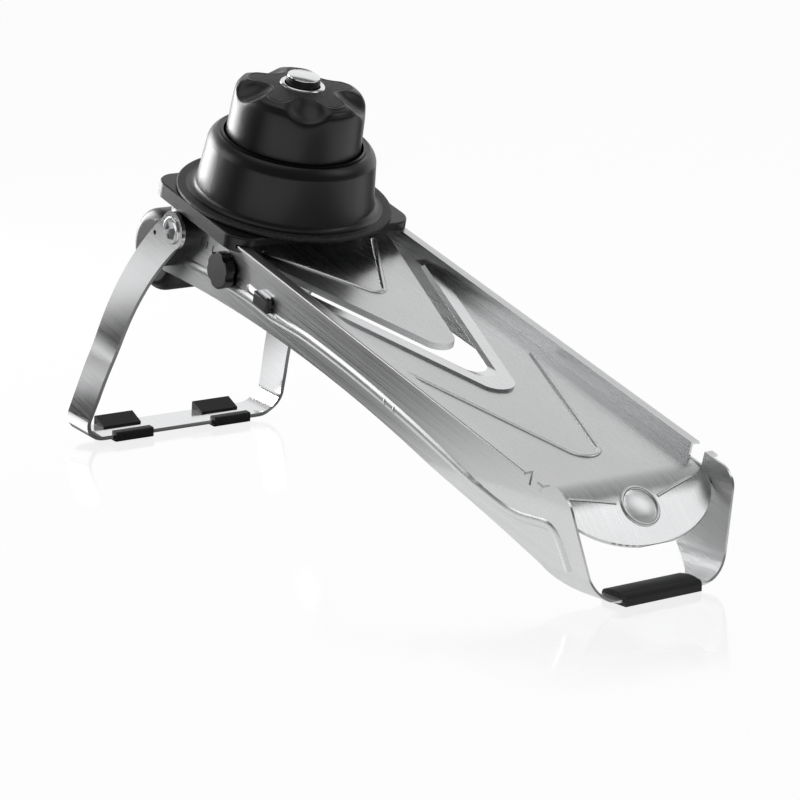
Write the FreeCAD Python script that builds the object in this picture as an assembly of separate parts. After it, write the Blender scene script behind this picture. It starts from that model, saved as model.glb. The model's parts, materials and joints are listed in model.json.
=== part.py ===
"""Mandoline slicer with a V blade, a folding leg and a food pusher that runs on rails.

Frame: millimetres, +Z up, the slicer stands on Z = 0.  The origin is the middle of the underside of the
front foot pad, and +X points forward, down the slope of the deck.  Pieces that lie on the slope are built in
the deck's own frame: x forward along the rails from their front end, z square to the rails above their tops.
"""
import FreeCAD, Part
import math
import os

os.makedirs("parts", exist_ok=True)
Vector = FreeCAD.Vector

# Sheet body
SHEET = 1.2
WALL_SPAN = 96.0
DECK_SLOPE = 16.6
RAIL_FRONT_X = -28.2
RAIL_FRONT_Z = 59.2
RAIL_LENGTH = 316.0
FLANGE_WIDTH = 4.0
FLANGE_LIP = 1.5
WALL_DEPTH_REAR = 46.0
WALL_DEPTH_MIDDLE = 31.6
WALL_DEPTH_FRONT = 42.0
NOTCH_LENGTH = 9.5
NOTCH_DEPTH = 7.0
ARM_TOP_LENGTH = 10.5
ARM_KNEE_X = 1.2
ARM_KNEE_Z = 42.0
ARM_TOE_X = 4.4
ARM_TOE_Z = 14.0
BEAD_WIDTH = 3.2
BEAD_HEIGHT = 0.9
BEAD_ABOVE_EDGE = 11.0

# Front foot
FOOT_STRIP_WIDTH = 14.0
FOOT_BEND = 18.0
FOOT_LEAN = 10.2
FOOT_LEAN_TOP = 45.0
FOOT_LEAN_EASE = 30.0
FOOT_PAD_WIDTH = 45.0
FOOT_PAD_WALL = 1.5
FOOT_PAD_UNDER = 2.0
FOOT_PAD_OVER = 2.8

# Deck, tongue and blade
DECK_DROP = 7.5
DECK_LENGTH = 222.0
TONGUE_START = 4.0
TONGUE_BEND = 36.0
TONGUE_ANGLE = 33.0
TONGUE_STRAIGHT = 19.3
TONGUE_ROUNDING = 27.0
MEDALLION_RADIUS = 10.5
MEDALLION_RING = 0.9
V_HALF_ANGLE = 18.0
DECK_V_APEX = 80.0
DECK_LEDGE = 3.5
PRESSED_V_APEX = -4.2
PRESSED_V_LENGTH = 112.0
PRESSED_V_TIP = 8.5
BLADE_THICKNESS = 1.2
BLADE_OUTER_APEX = 60.4
BLADE_EDGE_APEX = 87.0
BLADE_OUTER_TIP = 9.5
BLADE_EDGE_TIP = 7.0
BLADE_LENGTH = 214.0
BLADE_BEVEL = 2.2
BLADE_LAND = 0.15
RIVET_RADIUS = 1.5
RIVET_HEAD_RADIUS = 2.6

# Infeed plate
PLATE_DROP = 6.3
PLATE_APEX = 113.0
PLATE_HALF_ANGLE = 18.3
PLATE_TIP = 8.5
PLATE_REAR = 287.0
PLATE_SKIRT = 3.5
PLATE_SKIRT_REAR = 236.0
PLATE_SIDE_GAP = 0.5
PLATE_TRAVEL = 8.0
PLATE_BEAD_APEX = 186.0
PLATE_BEAD_ANGLE = 29.0
PLATE_BEAD_REAR = 247.0
PLATE_BEAD_TIP = 5.0
TAB_FRONT = 266.0
TAB_DEPTH = 18.0
GUIDE_PIN_RADIUS = 1.5
GUIDE_PIN_SPACING = 10.0
GUIDE_PIN_DROP = 18.0
GUIDE_CLEARANCE = 0.3

# Thickness knob and cams
SHAFT_BACK = 258.0
SHAFT_DROP = 19.0
SHAFT_RADIUS = 2.0
KNOB_TURN = 240.0
KNOB_RADIUS = 9.9
KNOB_THICKNESS = 5.0
KNOB_LOBES = 6
KNOB_GROOVE_RADIUS = 3.4
CAM_WIDTH = 5.0
CAM_SPACING = 48.0
CAM_HUB_RADIUS = 3.1
BUSH_RADIUS = 4.5
CLIP_RADIUS = 4.5
CLIP_THICKNESS = 1.0

# Leg
PIVOT_BACK = 297.8
PIVOT_DROP = 14.1
SPACER_THICKNESS = 8.0
LEG_THICKNESS = 2.2
LEG_WIDTH = 19.5
LEG_FOOT_WIDTH = 21.5
LEG_STRIP_TILT = 6.0
LEG_FLARE = 7.5
LEG_FLARE_LENGTH = 57.0
LEG_FLARE_EASE = 120.0
LEG_EYE_RADIUS = 10.2
LEG_ARC_RADIUS = 225.0
LEG_START_ANGLE = 32.5
LEG_LOWER_ANGLE = 66.0
LEG_BEND = 13.0
LEG_PAD_LENGTH = 24.0
LEG_PAD_INSIDE = 20.0
LEG_PAD_WALL = 1.6
LEG_PAD_REAR_LIP = 9.0
LEG_PAD_FRONT_LIP = 3.2
LEG_PAD_WEDGE = 3.0
LEG_STOP_HOLE_RADIUS = 1.3
LEG_STOP_HOLE_BACK = 15.5
LEG_STOP_HOLE_OFF = 7.0
PIVOT_RADIUS = 6.0
PIVOT_HEAD_RADIUS = 7.2
PIVOT_HEAD = 0.8
PIVOT_SOCKET_RADIUS = 5.2
PIVOT_SOCKET_DEPTH = 3.0
PIVOT_THREAD_RADIUS = 2.5
PIVOT_THREAD_LENGTH = 9.0

# Rear handle
HANDLE_RADIUS = 22.0
HANDLE_BACK = 330.0
HANDLE_BELOW = 41.0
HANDLE_ROUNDING = 6.0
HANDLE_WEB = 5.0
HANDLE_WEB_RADIUS = 9.0
HANDLE_WEB_REAR_RADIUS = 15.0

# Side latch
LATCH_BACK = 220.0
LATCH_DROP = 19.5
LATCH_TRAVEL = 12.0
LATCH_LENGTH = 13.0
LATCH_HEIGHT = 7.0
LATCH_PROUD = 4.0
LATCH_SLOT_HEIGHT = 4.6

# Carriage
PUSHER_BACK = 285.0
CARRIAGE_LENGTH = 85.0
CARRIAGE_HALF_WIDTH = 55.5
CARRIAGE_THICKNESS = 4.0
CARRIAGE_CORNER = 12.0
CARRIAGE_GAP = 0.4
RAIL_SIDE_GAP = 0.6
RUNNER_GAP = 0.3
RUNNER_THICKNESS = 1.7
RUNNER_REACH = 2.5
RUNNER_SCREW_RADIUS = 1.2
RUNNER_SCREW_INSET = 16.0

# Pusher collar, heights measured above the carriage
COLLAR_GAP = 0.3
NECK_RADIUS = 36.0
NECK_WALL = 1.8
FLANGE_RADIUS = 52.0
FLANGE_THICKNESS = 2.0
GRIP_RING_RADIUS = 56.8
COLLAR_BASE_RADIUS = 47.0
COLLAR_TOP_RADIUS = 44.4
COLLAR_WALL = 3.0
COLLAR_SIDE = 28.0
COLLAR_HEIGHT = 33.5
MOUTH_RADIUS = 38.2
GUIDE_RING_WALL = 1.4
GUIDE_RING_DEPTH = 4.0
RETAINER_WIDTH = 4.4
RETAINER_THICKNESS = 2.4

# Plunger, heights measured above the carriage
PLUNGER_TRAVEL = 14.0
KNOB_BASE_RADIUS = 36.0
KNOB_TOP_RADIUS = 34.4
KNOB_BASE = 21.5
KNOB_SIDE_DROP = 9.8
KNOB_SHOULDER_DROP = 2.2
KNOB_CROWN_RADIUS = 29.0
KNOB_CROWN = 63.8
KNOB_WALL = 3.0
SCALLOP_COUNT = 5
SCALLOP_FACING = -27.0
SCALLOP_RADIUS = 14.5
SCALLOP_OUT = 34.0
SCALLOP_RISE = 1.7
PAD_THICKNESS = 1.0
PAD_RADIUS = 28.5
PAD_MARGIN = 0.8
TRIM_RING_RADIUS = 11.8
TRIM_RING_HEIGHT = 1.8
BUTTON_RADIUS = 8.7
BUTTON_PROUD = 4.6
BUTTON_TRAVEL = 3.0
BUTTON_GAP = 0.5
BUTTON_FLANGE_RADIUS = 10.4
BUTTON_FLANGE = 1.4
STEM_WALL = 2.0
STEM_SPRING_SEAT = 46.0
STEM_FOOT_RADIUS = 19.5
STEM_FOOT = 2.5
HOLDER_THICKNESS = 2.0
SPIKE_LENGTH = 9.0
SPIKE_RADIUS = 0.9
HOLDER_SCREW_RADIUS = 1.3
HOLDER_SCREW_HEAD = 2.4
SPRING_RADIUS = 7.0
SPRING_WIRE = 0.5

FIT = 0.05
RUNNING_FIT = 0.08

# Derived sizes
wall_half = WALL_SPAN / 2
inner_half = wall_half - SHEET
rail_half = wall_half + FLANGE_WIDTH
strip_bottom = FOOT_PAD_UNDER
leg_inner = wall_half + SPACER_THICKNESS
leg_outer = leg_inner + LEG_THICKNESS
carriage_bottom = CARRIAGE_GAP
knob_side_top = KNOB_CROWN - KNOB_SIDE_DROP
knob_shoulder = KNOB_CROWN - KNOB_SHOULDER_DROP
scallop_up = KNOB_CROWN + SCALLOP_RISE
carriage_top = CARRIAGE_GAP + CARRIAGE_THICKNESS
slope = math.radians(DECK_SLOPE)
deck_frame = FreeCAD.Placement(
    Vector(RAIL_FRONT_X, 0, RAIL_FRONT_Z), FreeCAD.Rotation(Vector(0, 1, 0), DECK_SLOPE)
)


def xz(a, b):
    return Vector(a, 0, b)


def xy(a, b):
    return Vector(a, b, 0)


def yz(a, b):
    return Vector(0, a, b)


def closed_face(plane, start, *moves):
    """Face inside a closed outline; a move is an end point, or a (through, end) pair for an arc."""
    edges = []
    here = start
    for move in moves:
        is_arc = isinstance(move[0], tuple)
        end = move[1] if is_arc else move
        if is_arc:
            edges.append(Part.Arc(plane(*here), plane(*move[0]), plane(*end)).toShape())
        else:
            edges.append(Part.makeLine(plane(*here), plane(*end)))
        here = end
    if here != start:
        edges.append(Part.makeLine(plane(*here), plane(*start)))
    return Part.Face(Part.Wire(edges))


def across(face, y_low, y_high):
    """Solid of an XZ face carried from y_low to y_high."""
    solid = face.extrude(Vector(0, y_high - y_low, 0))
    solid.translate(Vector(0, y_low, 0))
    return solid


def raised(face, z_low, z_high):
    """Solid of an XY face carried from z_low to z_high."""
    solid = face.extrude(Vector(0, 0, z_high - z_low))
    solid.translate(Vector(0, 0, z_low))
    return solid


def box(x_low, x_high, y_low, y_high, z_low, z_high):
    return Part.makeBox(x_high - x_low, y_high - y_low, z_high - z_low, Vector(x_low, y_low, z_low))


def rod_y(radius, x, z, y_low, y_high):
    return Part.makeCylinder(radius, y_high - y_low, Vector(x, y_low, z), Vector(0, 1, 0))


def rod_z(radius, x, y, z_low, z_high):
    return Part.makeCylinder(radius, z_high - z_low, Vector(x, y, z_low))


def tube_z(outer, inner, z_low, z_high):
    return rod_z(outer, 0, 0, z_low, z_high).cut(rod_z(inner, 0, 0, z_low, z_high))


def turned(start, *moves):
    """Body of revolution about Z from an outline of (radius, height) points."""
    return closed_face(xz, start, *moves).revolve(Vector(0, 0, 0), Vector(0, 0, 1), 360)


def mirrored(shape):
    return shape.mirror(Vector(0, 0, 0), Vector(0, 1, 0))


def both_sides(shape):
    return [shape, mirrored(shape)]


def on_deck(shape):
    return shape.transformed(deck_frame.toMatrix(), True)


def deck_point(x, z):
    """World X and Z of a point given in the deck's frame."""
    point = deck_frame.multVec(Vector(x, 0, z))
    return (point.x, point.z)


def at_pusher(shape):
    """Carries a body built about the pusher's axis, with z = 0 on the carriage, to its place."""
    moved = shape.copy()
    moved.translate(Vector(-PUSHER_BACK, 0, carriage_top))
    return on_deck(moved)


def ridge_pieces(points, radius, to_vector):
    """Pieces of a ridge of round section through the given points: rods and ring pieces with balls between."""
    pieces = []
    here = points[0]
    for move in points[1:]:
        is_arc = isinstance(move[0], tuple)
        end = move[1] if is_arc else move
        first = to_vector(*here)
        if is_arc:
            edge = Part.Arc(first, to_vector(*move[0]), to_vector(*end)).toShape()
        else:
            edge = Part.makeLine(first, to_vector(*end))
        tangent = edge.tangentAt(edge.FirstParameter)
        section = Part.Wire(Part.Circle(first, tangent, radius).toShape())
        pieces.append(Part.Wire(edge).makePipeShell([section], True, False))
        pieces.append(Part.makeSphere(radius, to_vector(*end)))
        here = end
    pieces.append(Part.makeSphere(radius, to_vector(*points[0])))
    return pieces


def v_tangents(apex, half_angle, tip_radius):
    """Rounded tip of a V that opens rearward: tangent points and foremost point, in (x, y)."""
    angle = math.radians(half_angle)
    centre = -apex - tip_radius / math.sin(angle)
    touch_x = centre + tip_radius * math.sin(angle)
    touch_y = tip_radius * math.cos(angle)
    return touch_x, touch_y, centre + tip_radius


def v_face(apex, half_angle, tip_radius, rear, half_width):
    """Face of a V with a rounded tip, at most half_width wide, from its tip back to rear."""
    touch_x, touch_y, nose = v_tangents(apex, half_angle, tip_radius)
    grow = math.tan(math.radians(half_angle))
    corner = -apex - half_width / grow
    if corner <= -rear:
        wide = (rear - apex) * grow
        return closed_face(xy, (-rear, -wide), (touch_x, -touch_y), ((nose, 0), (touch_x, touch_y)), (-rear, wide))
    return closed_face(
        xy, (-rear, -half_width), (corner, -half_width), (touch_x, -touch_y),
        ((nose, 0), (touch_x, touch_y)), (corner, half_width), (-rear, half_width),
    )


def teardrop(first, first_radius, second, second_radius):
    """XZ face round two circles and their outer tangents."""
    gap_x = second[0] - first[0]
    gap_z = second[1] - first[1]
    distance = math.hypot(gap_x, gap_z)
    heading = math.atan2(gap_z, gap_x)
    spread = math.acos((first_radius - second_radius) / distance)

    def rim(centre, radius, angle):
        return (centre[0] + radius * math.cos(angle), centre[1] + radius * math.sin(angle))

    return closed_face(
        xz, rim(first, first_radius, heading + spread),
        (rim(first, first_radius, heading + math.pi), rim(first, first_radius, heading - spread)),
        rim(second, second_radius, heading - spread),
        (rim(second, second_radius, heading), rim(second, second_radius, heading + spread)),
    )


def lower_edge_height(x):
    """Height of the walls' lower edge in the deck's frame, on the arc through its three depths."""
    edge = Part.Arc(
        xz(-RAIL_LENGTH, -WALL_DEPTH_REAR), xz(-RAIL_LENGTH / 2, -WALL_DEPTH_MIDDLE), xz(0, -WALL_DEPTH_FRONT)
    )
    circle = edge.toShape().Curve
    return circle.Center.z + math.sqrt(circle.Radius ** 2 - (x - circle.Center.x) ** 2)


def wall_outline():
    """Side view of the band: both walls, the front arms and the foot strip share it."""
    notch_end = NOTCH_LENGTH
    arm_end = NOTCH_LENGTH + ARM_TOP_LENGTH
    low_front = ARM_TOP_LENGTH
    foot_half = FOOT_STRIP_WIDTH / 2
    below = strip_bottom - SHEET
    strip_top = strip_bottom + SHEET
    arm_bow = (ARM_KNEE_X - 3.2, ARM_KNEE_Z + 7.8)
    heel_bow = (-foot_half - 12.5, strip_bottom + 5.4)
    return closed_face(
        xz, deck_point(0, 0), deck_point(-RAIL_LENGTH, 0),
        deck_point(-RAIL_LENGTH, lower_edge_height(-RAIL_LENGTH)),
        (deck_point(-RAIL_LENGTH / 2, lower_edge_height(-RAIL_LENGTH / 2)),
         deck_point(low_front, lower_edge_height(low_front))),
        (heel_bow, (-foot_half, strip_top)), (-foot_half, below), (foot_half, below),
        (foot_half, strip_top), (ARM_TOE_X, ARM_TOE_Z), (ARM_KNEE_X, ARM_KNEE_Z),
        (arm_bow, deck_point(arm_end, 0)), deck_point(notch_end, 0), deck_point(notch_end, -NOTCH_DEPTH),
        deck_point(0, -NOTCH_DEPTH),
    )


def eased(before, corner, after, radius):
    """Moves that round a corner of an outline: the first tangent point, then the arc to the second."""
    back = Vector(before[0] - corner[0], before[1] - corner[1], 0)
    on = Vector(after[0] - corner[0], after[1] - corner[1], 0)
    half = back.getAngle(on) / 2
    back.normalize()
    on.normalize()
    inward = (back + on).normalize()
    tangent = radius / math.tan(half)
    middle = inward * (radius / math.sin(half) - radius)

    def place(step):
        return (corner[0] + step.x, corner[1] + step.y)

    return [place(back * tangent), (place(middle), place(on * tangent))]


def u_section(half, low_half, lean_top, bottom, bend, ease, top):
    """Face inside a U whose sides stand straight, then lean in or out towards the bottom."""
    side = [(-half, top), (-half, lean_top), (-low_half, bottom), (0, bottom)]
    knee, (knee_bow, knee_end) = eased(side[0], side[1], side[2], ease)
    heel, (heel_bow, heel_end) = eased(side[1], side[2], side[3], bend)

    def far(point):
        return (-point[0], point[1])

    return closed_face(
        yz, side[0], knee, (knee_bow, knee_end), heel, (heel_bow, heel_end), far(heel_end),
        (far(heel_bow), far(heel)), far(knee_end), (far(knee_bow), far(knee)), far(side[0]),
    )


def bent_sheet(half, low_half, lean_top, bottom, bend, ease, top, thickness):
    """Section of a sheet bent to a U, its outer face on the given outline."""
    lean = (half - low_half) / (lean_top - bottom)
    length = math.sqrt(1 + lean ** 2)
    outer = u_section(half, low_half, lean_top, bottom, bend, ease, top)
    inner = u_section(
        half - thickness, low_half + thickness * (lean - length), lean_top + thickness * (length - 1) / lean,
        bottom + thickness, bend - thickness, ease - math.copysign(thickness, lean), top,
    )
    return outer.cut(inner)


def rail(length, front):
    """Outward flange with its short lip, on the negative Y side."""
    face = closed_face(
        yz, (-inner_half, 0), (-rail_half + FLANGE_LIP / 2, 0),
        ((-rail_half + FLANGE_LIP / 7, -FLANGE_LIP / 7), (-rail_half, -FLANGE_LIP / 2)),
        (-rail_half, -FLANGE_LIP), (-rail_half + SHEET, -FLANGE_LIP), (-rail_half + SHEET, -SHEET),
        (-inner_half, -SHEET),
    )
    flange = face.extrude(Vector(-length, 0, 0))
    flange.translate(Vector(front, 0, 0))
    return flange


def wall_surface(z):
    """Distance of a wall's outer face from the middle plane at this height."""
    lean = FOOT_LEAN / (FOOT_LEAN_TOP - strip_bottom)
    return wall_half - max(0, FOOT_LEAN_TOP - z) * lean


def wall_bead():
    """Pressed ridge along the lower part of a wall, turning down the front arm."""
    rear = -RAIL_LENGTH + 2 * BEAD_ABOVE_EDGE
    lean_start = -RAIL_LENGTH * 0.15
    front = -BEAD_WIDTH
    turn = NOTCH_LENGTH + ARM_TOP_LENGTH

    def above_edge(x):
        return deck_point(x, lower_edge_height(x) + BEAD_ABOVE_EDGE)

    path = [
        above_edge(rear), (above_edge(-RAIL_LENGTH / 2), above_edge(lean_start)), above_edge(front),
        deck_point(turn - 6.0, -21.0), (deck_point(turn + 2.5, -21.0), deck_point(turn + 6.0, -27.0)),
        deck_point(turn + 9.0, -35.0),
    ]
    radius = (BEAD_WIDTH ** 2 / 4 + BEAD_HEIGHT ** 2) / (2 * BEAD_HEIGHT)
    sunk = radius - BEAD_HEIGHT
    core = wall_core()
    pieces = ridge_pieces(path, radius, lambda x, z: Vector(x, sunk - wall_surface(z), z))
    outside = [piece.cut(core) for piece in pieces]
    return outside[0].fuse(outside[1:])


def wall_core():
    """Space inside the middle of the wall sheet, which no ridge may fill."""
    inner = inner_half + SHEET / 2
    section = u_section(
        inner, inner - FOOT_LEAN, FOOT_LEAN_TOP, strip_bottom, FOOT_BEND, FOOT_LEAN_EASE, RAIL_FRONT_Z + RAIL_LENGTH
    )
    core = section.extrude(Vector(2 * RAIL_LENGTH, 0, 0))
    core.translate(Vector(-1.5 * RAIL_LENGTH, 0, 0))
    return core


def latch_slot():
    half = LATCH_SLOT_HEIGHT / 2
    front = -LATCH_BACK + LATCH_LENGTH / 2
    rear = -LATCH_BACK - LATCH_LENGTH / 2 - LATCH_TRAVEL
    face = closed_face(
        xz, (rear + half, -LATCH_DROP - half), (front - half, -LATCH_DROP - half),
        ((front, -LATCH_DROP), (front - half, -LATCH_DROP + half)), (rear + half, -LATCH_DROP + half),
        ((rear, -LATCH_DROP), (rear + half, -LATCH_DROP - half)),
    )
    return across(face, -wall_half - BEAD_WIDTH, -inner_half + SHEET)


def guide_pin_places():
    middle = (TAB_FRONT + PLATE_REAR) / 2
    return [-middle - GUIDE_PIN_SPACING / 2, -middle + GUIDE_PIN_SPACING / 2]


def side_frame():
    """Both walls and the front foot: one band of sheet, bent to a U and trimmed to its side view."""
    section = bent_sheet(
        wall_half, wall_half - FOOT_LEAN, FOOT_LEAN_TOP, strip_bottom, FOOT_BEND, FOOT_LEAN_EASE,
        RAIL_FRONT_Z + RAIL_LENGTH, SHEET,
    )
    channel = section.extrude(Vector(2 * RAIL_LENGTH, 0, 0))
    channel.translate(Vector(-1.5 * RAIL_LENGTH, 0, 0))
    band = channel.common(across(wall_outline(), -WALL_SPAN, WALL_SPAN))
    rails = both_sides(on_deck(rail(RAIL_LENGTH, 0)))
    tabs = both_sides(on_deck(rail(SHEET * 3, NOTCH_LENGTH + SHEET * 3)))
    beads = both_sides(wall_bead())
    band = band.fuse(rails + tabs + beads)
    holes = [
        rod_y(BUSH_RADIUS + FIT, -SHAFT_BACK, -SHAFT_DROP, -WALL_SPAN, WALL_SPAN),
        rod_y(PIVOT_THREAD_RADIUS + FIT, -PIVOT_BACK, -PIVOT_DROP, -WALL_SPAN, WALL_SPAN),
        latch_slot(),
    ]
    for place in guide_pin_places():
        holes.append(rod_y(GUIDE_PIN_RADIUS + FIT, place, -GUIDE_PIN_DROP, -WALL_SPAN, WALL_SPAN))
    return band.cut([on_deck(hole) for hole in holes]).removeSplitter()


def deck_profile():
    """Side view of the deck sheet with its turned-down tongue."""
    bend = math.radians(TONGUE_ANGLE)
    half = bend / 2
    middle = -DECK_DROP - TONGUE_BEND

    def on_bend(radius, angle):
        return (TONGUE_START + radius * math.sin(angle), middle + radius * math.cos(angle))

    def tip(radius):
        x, z = on_bend(radius, bend)
        return (x + TONGUE_STRAIGHT * math.cos(bend), z - TONGUE_STRAIGHT * math.sin(bend))

    under = TONGUE_BEND - SHEET
    return closed_face(
        xz, (-DECK_LENGTH, -DECK_DROP), on_bend(TONGUE_BEND, 0),
        (on_bend(TONGUE_BEND, half), on_bend(TONGUE_BEND, bend)), tip(TONGUE_BEND), tip(under),
        on_bend(under, bend), (on_bend(under, half), on_bend(under, 0)), (-DECK_LENGTH, -DECK_DROP - SHEET),
    )


def tongue_reach():
    bend = math.radians(TONGUE_ANGLE)
    return TONGUE_START + TONGUE_BEND * math.sin(bend) + TONGUE_STRAIGHT * math.cos(bend)


def medallion():
    """Plain pressed ring on the tongue, where its bend ends."""
    bend = math.radians(TONGUE_ANGLE)
    x = TONGUE_START + TONGUE_BEND * math.sin(bend)
    z = -DECK_DROP - TONGUE_BEND * (1 - math.cos(bend))
    out = Vector(math.sin(bend), 0, math.cos(bend))
    ring = Part.makeTorus(MEDALLION_RADIUS - MEDALLION_RING, MEDALLION_RING, Vector(x, 0, z), out)
    dome = Part.makeSphere(MEDALLION_RADIUS * 4)
    dome.translate(Vector(x, 0, z) - out * (MEDALLION_RADIUS * 4 - MEDALLION_RING))
    plug = Part.makeCylinder(MEDALLION_RADIUS - MEDALLION_RING, 2 * MEDALLION_RING, Vector(x, 0, z) - out * MEDALLION_RING, out)
    return [ring, dome.common(plug)]


def pressed_v(apex, half_angle, tip_radius, rear, height, width):
    """Half-round ridge along a V with a rounded tip, its foot on the plane z = 0."""
    touch_x, touch_y, nose = v_tangents(apex, half_angle, tip_radius)
    wide = (rear - apex) * math.tan(math.radians(half_angle))
    radius = (width ** 2 / 4 + height ** 2) / (2 * height)
    path = [(-rear, -wide), (touch_x, -touch_y), ((nose, 0), (touch_x, touch_y)), (-rear, wide)]
    pieces = ridge_pieces(path, radius, lambda a, b: Vector(a, b, height - radius))
    ridge = pieces[0].fuse(pieces[1:])
    return ridge.common(box(-rear - width, nose + width, -2 * wide, 2 * wide, -SHEET / 2, height))


def deck_plate():
    reach = tongue_reach()
    ellipse = Part.Ellipse(
        Vector(reach - TONGUE_ROUNDING, inner_half, 0), Vector(reach, 0, 0), Vector(reach - TONGUE_ROUNDING, 0, 0)
    )
    low = -WALL_SPAN
    nose = raised(Part.Face(Part.Wire(ellipse.toShape())), low, 0)
    plan = box(-DECK_LENGTH, reach - TONGUE_ROUNDING, -inner_half, inner_half, low, 0).fuse(nose)
    sheet = across(deck_profile(), -inner_half, inner_half).common(plan)
    throat = raised(v_face(DECK_V_APEX, V_HALF_ANGLE, BLADE_EDGE_TIP, DECK_LENGTH + SHEET, inner_half - DECK_LEDGE), low, 0)
    sheet = sheet.cut(throat)
    ridge = pressed_v(PRESSED_V_APEX, V_HALF_ANGLE, PRESSED_V_TIP, PRESSED_V_LENGTH, BEAD_HEIGHT, BEAD_WIDTH)
    ridge.translate(Vector(0, 0, -DECK_DROP))
    sheet = sheet.fuse([ridge] + medallion())
    return on_deck(sheet.cut(rivet_shanks(FIT)))


def blade_bottom():
    return -DECK_DROP


def v_blade():
    """Flat V strip on the deck with its inner edges ground to a bevel."""
    bottom = blade_bottom()
    top = bottom + BLADE_THICKNESS
    limit = inner_half - FIT
    rear = BLADE_LENGTH + SHEET
    blank = raised(v_face(BLADE_OUTER_APEX, V_HALF_ANGLE, BLADE_OUTER_TIP, rear, limit), bottom, top)
    edge = v_face(BLADE_EDGE_APEX, V_HALF_ANGLE, BLADE_EDGE_TIP, rear, limit)
    back = BLADE_BEVEL / math.sin(math.radians(V_HALF_ANGLE))
    ground = v_face(BLADE_EDGE_APEX - back, V_HALF_ANGLE, BLADE_EDGE_TIP, rear, limit)
    low_wire = edge.OuterWire.translated(Vector(0, 0, bottom + BLADE_LAND))
    high_wire = ground.OuterWire.translated(Vector(0, 0, top))
    blade = blank.cut([raised(edge, bottom, top), Part.makeLoft([low_wire, high_wire], True, True)])
    blade = blade.common(box(-BLADE_LENGTH, 0, -limit, limit, bottom, top))
    return on_deck(blade.cut(rivet_shanks(FIT)))


def rivet_places():
    """Rivet centres along the middle of the blade's lap on the deck, in (x, y)."""
    angle = math.radians(V_HALF_ANGLE)
    apex = (BLADE_OUTER_APEX + DECK_V_APEX) / 2
    places = []
    for share in (0.3, 0.6, 0.9):
        side = (inner_half - DECK_LEDGE) * share
        back = apex + side / math.tan(angle)
        places += [(-back, -side), (-back, side)]
    return places


def rivet_shanks(gap):
    low = blade_bottom() - SHEET
    high = blade_bottom() + BLADE_THICKNESS / 2
    return [rod_z(RIVET_RADIUS + gap, x, y, low, high) for x, y in rivet_places()]


def blade_rivets():
    low = blade_bottom() - SHEET
    rivets = []
    for (x, y), shank in zip(rivet_places(), rivet_shanks(0)):
        head = rod_z(RIVET_HEAD_RADIUS, x, y, low - SHEET, low)
        rivets.append(on_deck(shank.fuse(head)))
    return Part.makeCompound(rivets)


def front_foot_pad():
    """Rubber sleeve round the foot strip with a flat underside and a crowned top."""
    half = FOOT_STRIP_WIDTH / 2 + FOOT_PAD_WALL
    top = strip_bottom + SHEET + FOOT_PAD_OVER
    round_off = FOOT_PAD_OVER / 2
    face = closed_face(
        xz, (-half, 0), (half, 0), (half, top - 2 * round_off),
        ((half - round_off / 2, top - round_off), (half - 2 * round_off, top - round_off / 2)),
        ((0, top), (-half + 2 * round_off, top - round_off / 2)),
        ((-half + round_off / 2, top - round_off), (-half, top - 2 * round_off)),
    )
    width = FOOT_PAD_WIDTH / 2
    strip = box(
        -FOOT_STRIP_WIDTH / 2 - FIT, FOOT_STRIP_WIDTH / 2 + FIT, -width, width, strip_bottom, strip_bottom + SHEET
    )
    return across(face, -width, width).cut(strip)


def pivot_point():
    return (-PIVOT_BACK, -PIVOT_DROP)


def rear_handle():
    """Round grip between the walls, with two webs that the pivot screws hold to the walls."""
    centre = (-HANDLE_BACK, -HANDLE_BELOW)
    bow = HANDLE_ROUNDING * (1 - math.sqrt(0.5))
    end = inner_half - FIT
    flat = HANDLE_RADIUS - HANDLE_ROUNDING
    barrel = turned(
        (0, -end), (flat, -end), ((HANDLE_RADIUS - bow, -end + bow), (HANDLE_RADIUS, -end + HANDLE_ROUNDING)),
        (HANDLE_RADIUS, end - HANDLE_ROUNDING), ((HANDLE_RADIUS - bow, end - bow), (flat, end)), (0, end),
    )
    barrel.rotate(Vector(0, 0, 0), Vector(1, 0, 0), -90)
    barrel.translate(xz(*centre))
    web_face = teardrop(pivot_point(), HANDLE_WEB_RADIUS, centre, HANDLE_WEB_REAR_RADIUS)
    webs = both_sides(across(web_face, -end, -end + HANDLE_WEB))
    grip = barrel.fuse(webs)
    bore = rod_y(PIVOT_THREAD_RADIUS + FIT, *pivot_point(), -WALL_SPAN, WALL_SPAN)
    return on_deck(grip.cut(bore))


def leg_line(angle):
    """World point on the middle line of the leg's curve, where it drops rearward at this angle."""
    pivot = deck_point(*pivot_point())
    first = math.radians(LEG_START_ANGLE)
    last = math.radians(angle)
    x = pivot[0] + LEG_ARC_RADIUS * (math.sin(first) - math.sin(last))
    z = pivot[1] + LEG_ARC_RADIUS * (math.cos(last) - math.cos(first))
    return (x, z)


def leg_half_width(angle):
    """Half width of the band, which widens evenly from the eye to the foot."""
    share = (angle - LEG_START_ANGLE) / (LEG_LOWER_ANGLE - LEG_START_ANGLE)
    return (LEG_WIDTH + (LEG_FOOT_WIDTH - LEG_WIDTH) * share) / 2


def leg_edge(angle, side):
    """World point beside the leg's middle line; positive sides lie rearward and up."""
    x, z = leg_line(angle)
    return (x - side * math.sin(math.radians(angle)), z + side * math.cos(math.radians(angle)))


def leg_foot_placement():
    """Frame of the leg's cross strip: x across its width, z up from its underside."""
    end_x, end_z = leg_line(LEG_LOWER_ANGLE)
    foot_z = LEG_FOOT_WIDTH / 2 * math.sin(math.radians(LEG_STRIP_TILT)) + LEG_PAD_WALL
    foot_x = end_x - (end_z - foot_z) / math.tan(math.radians(LEG_LOWER_ANGLE))
    return FreeCAD.Placement(Vector(foot_x, 0, foot_z), FreeCAD.Rotation(Vector(0, 1, 0), LEG_STRIP_TILT))


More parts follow.
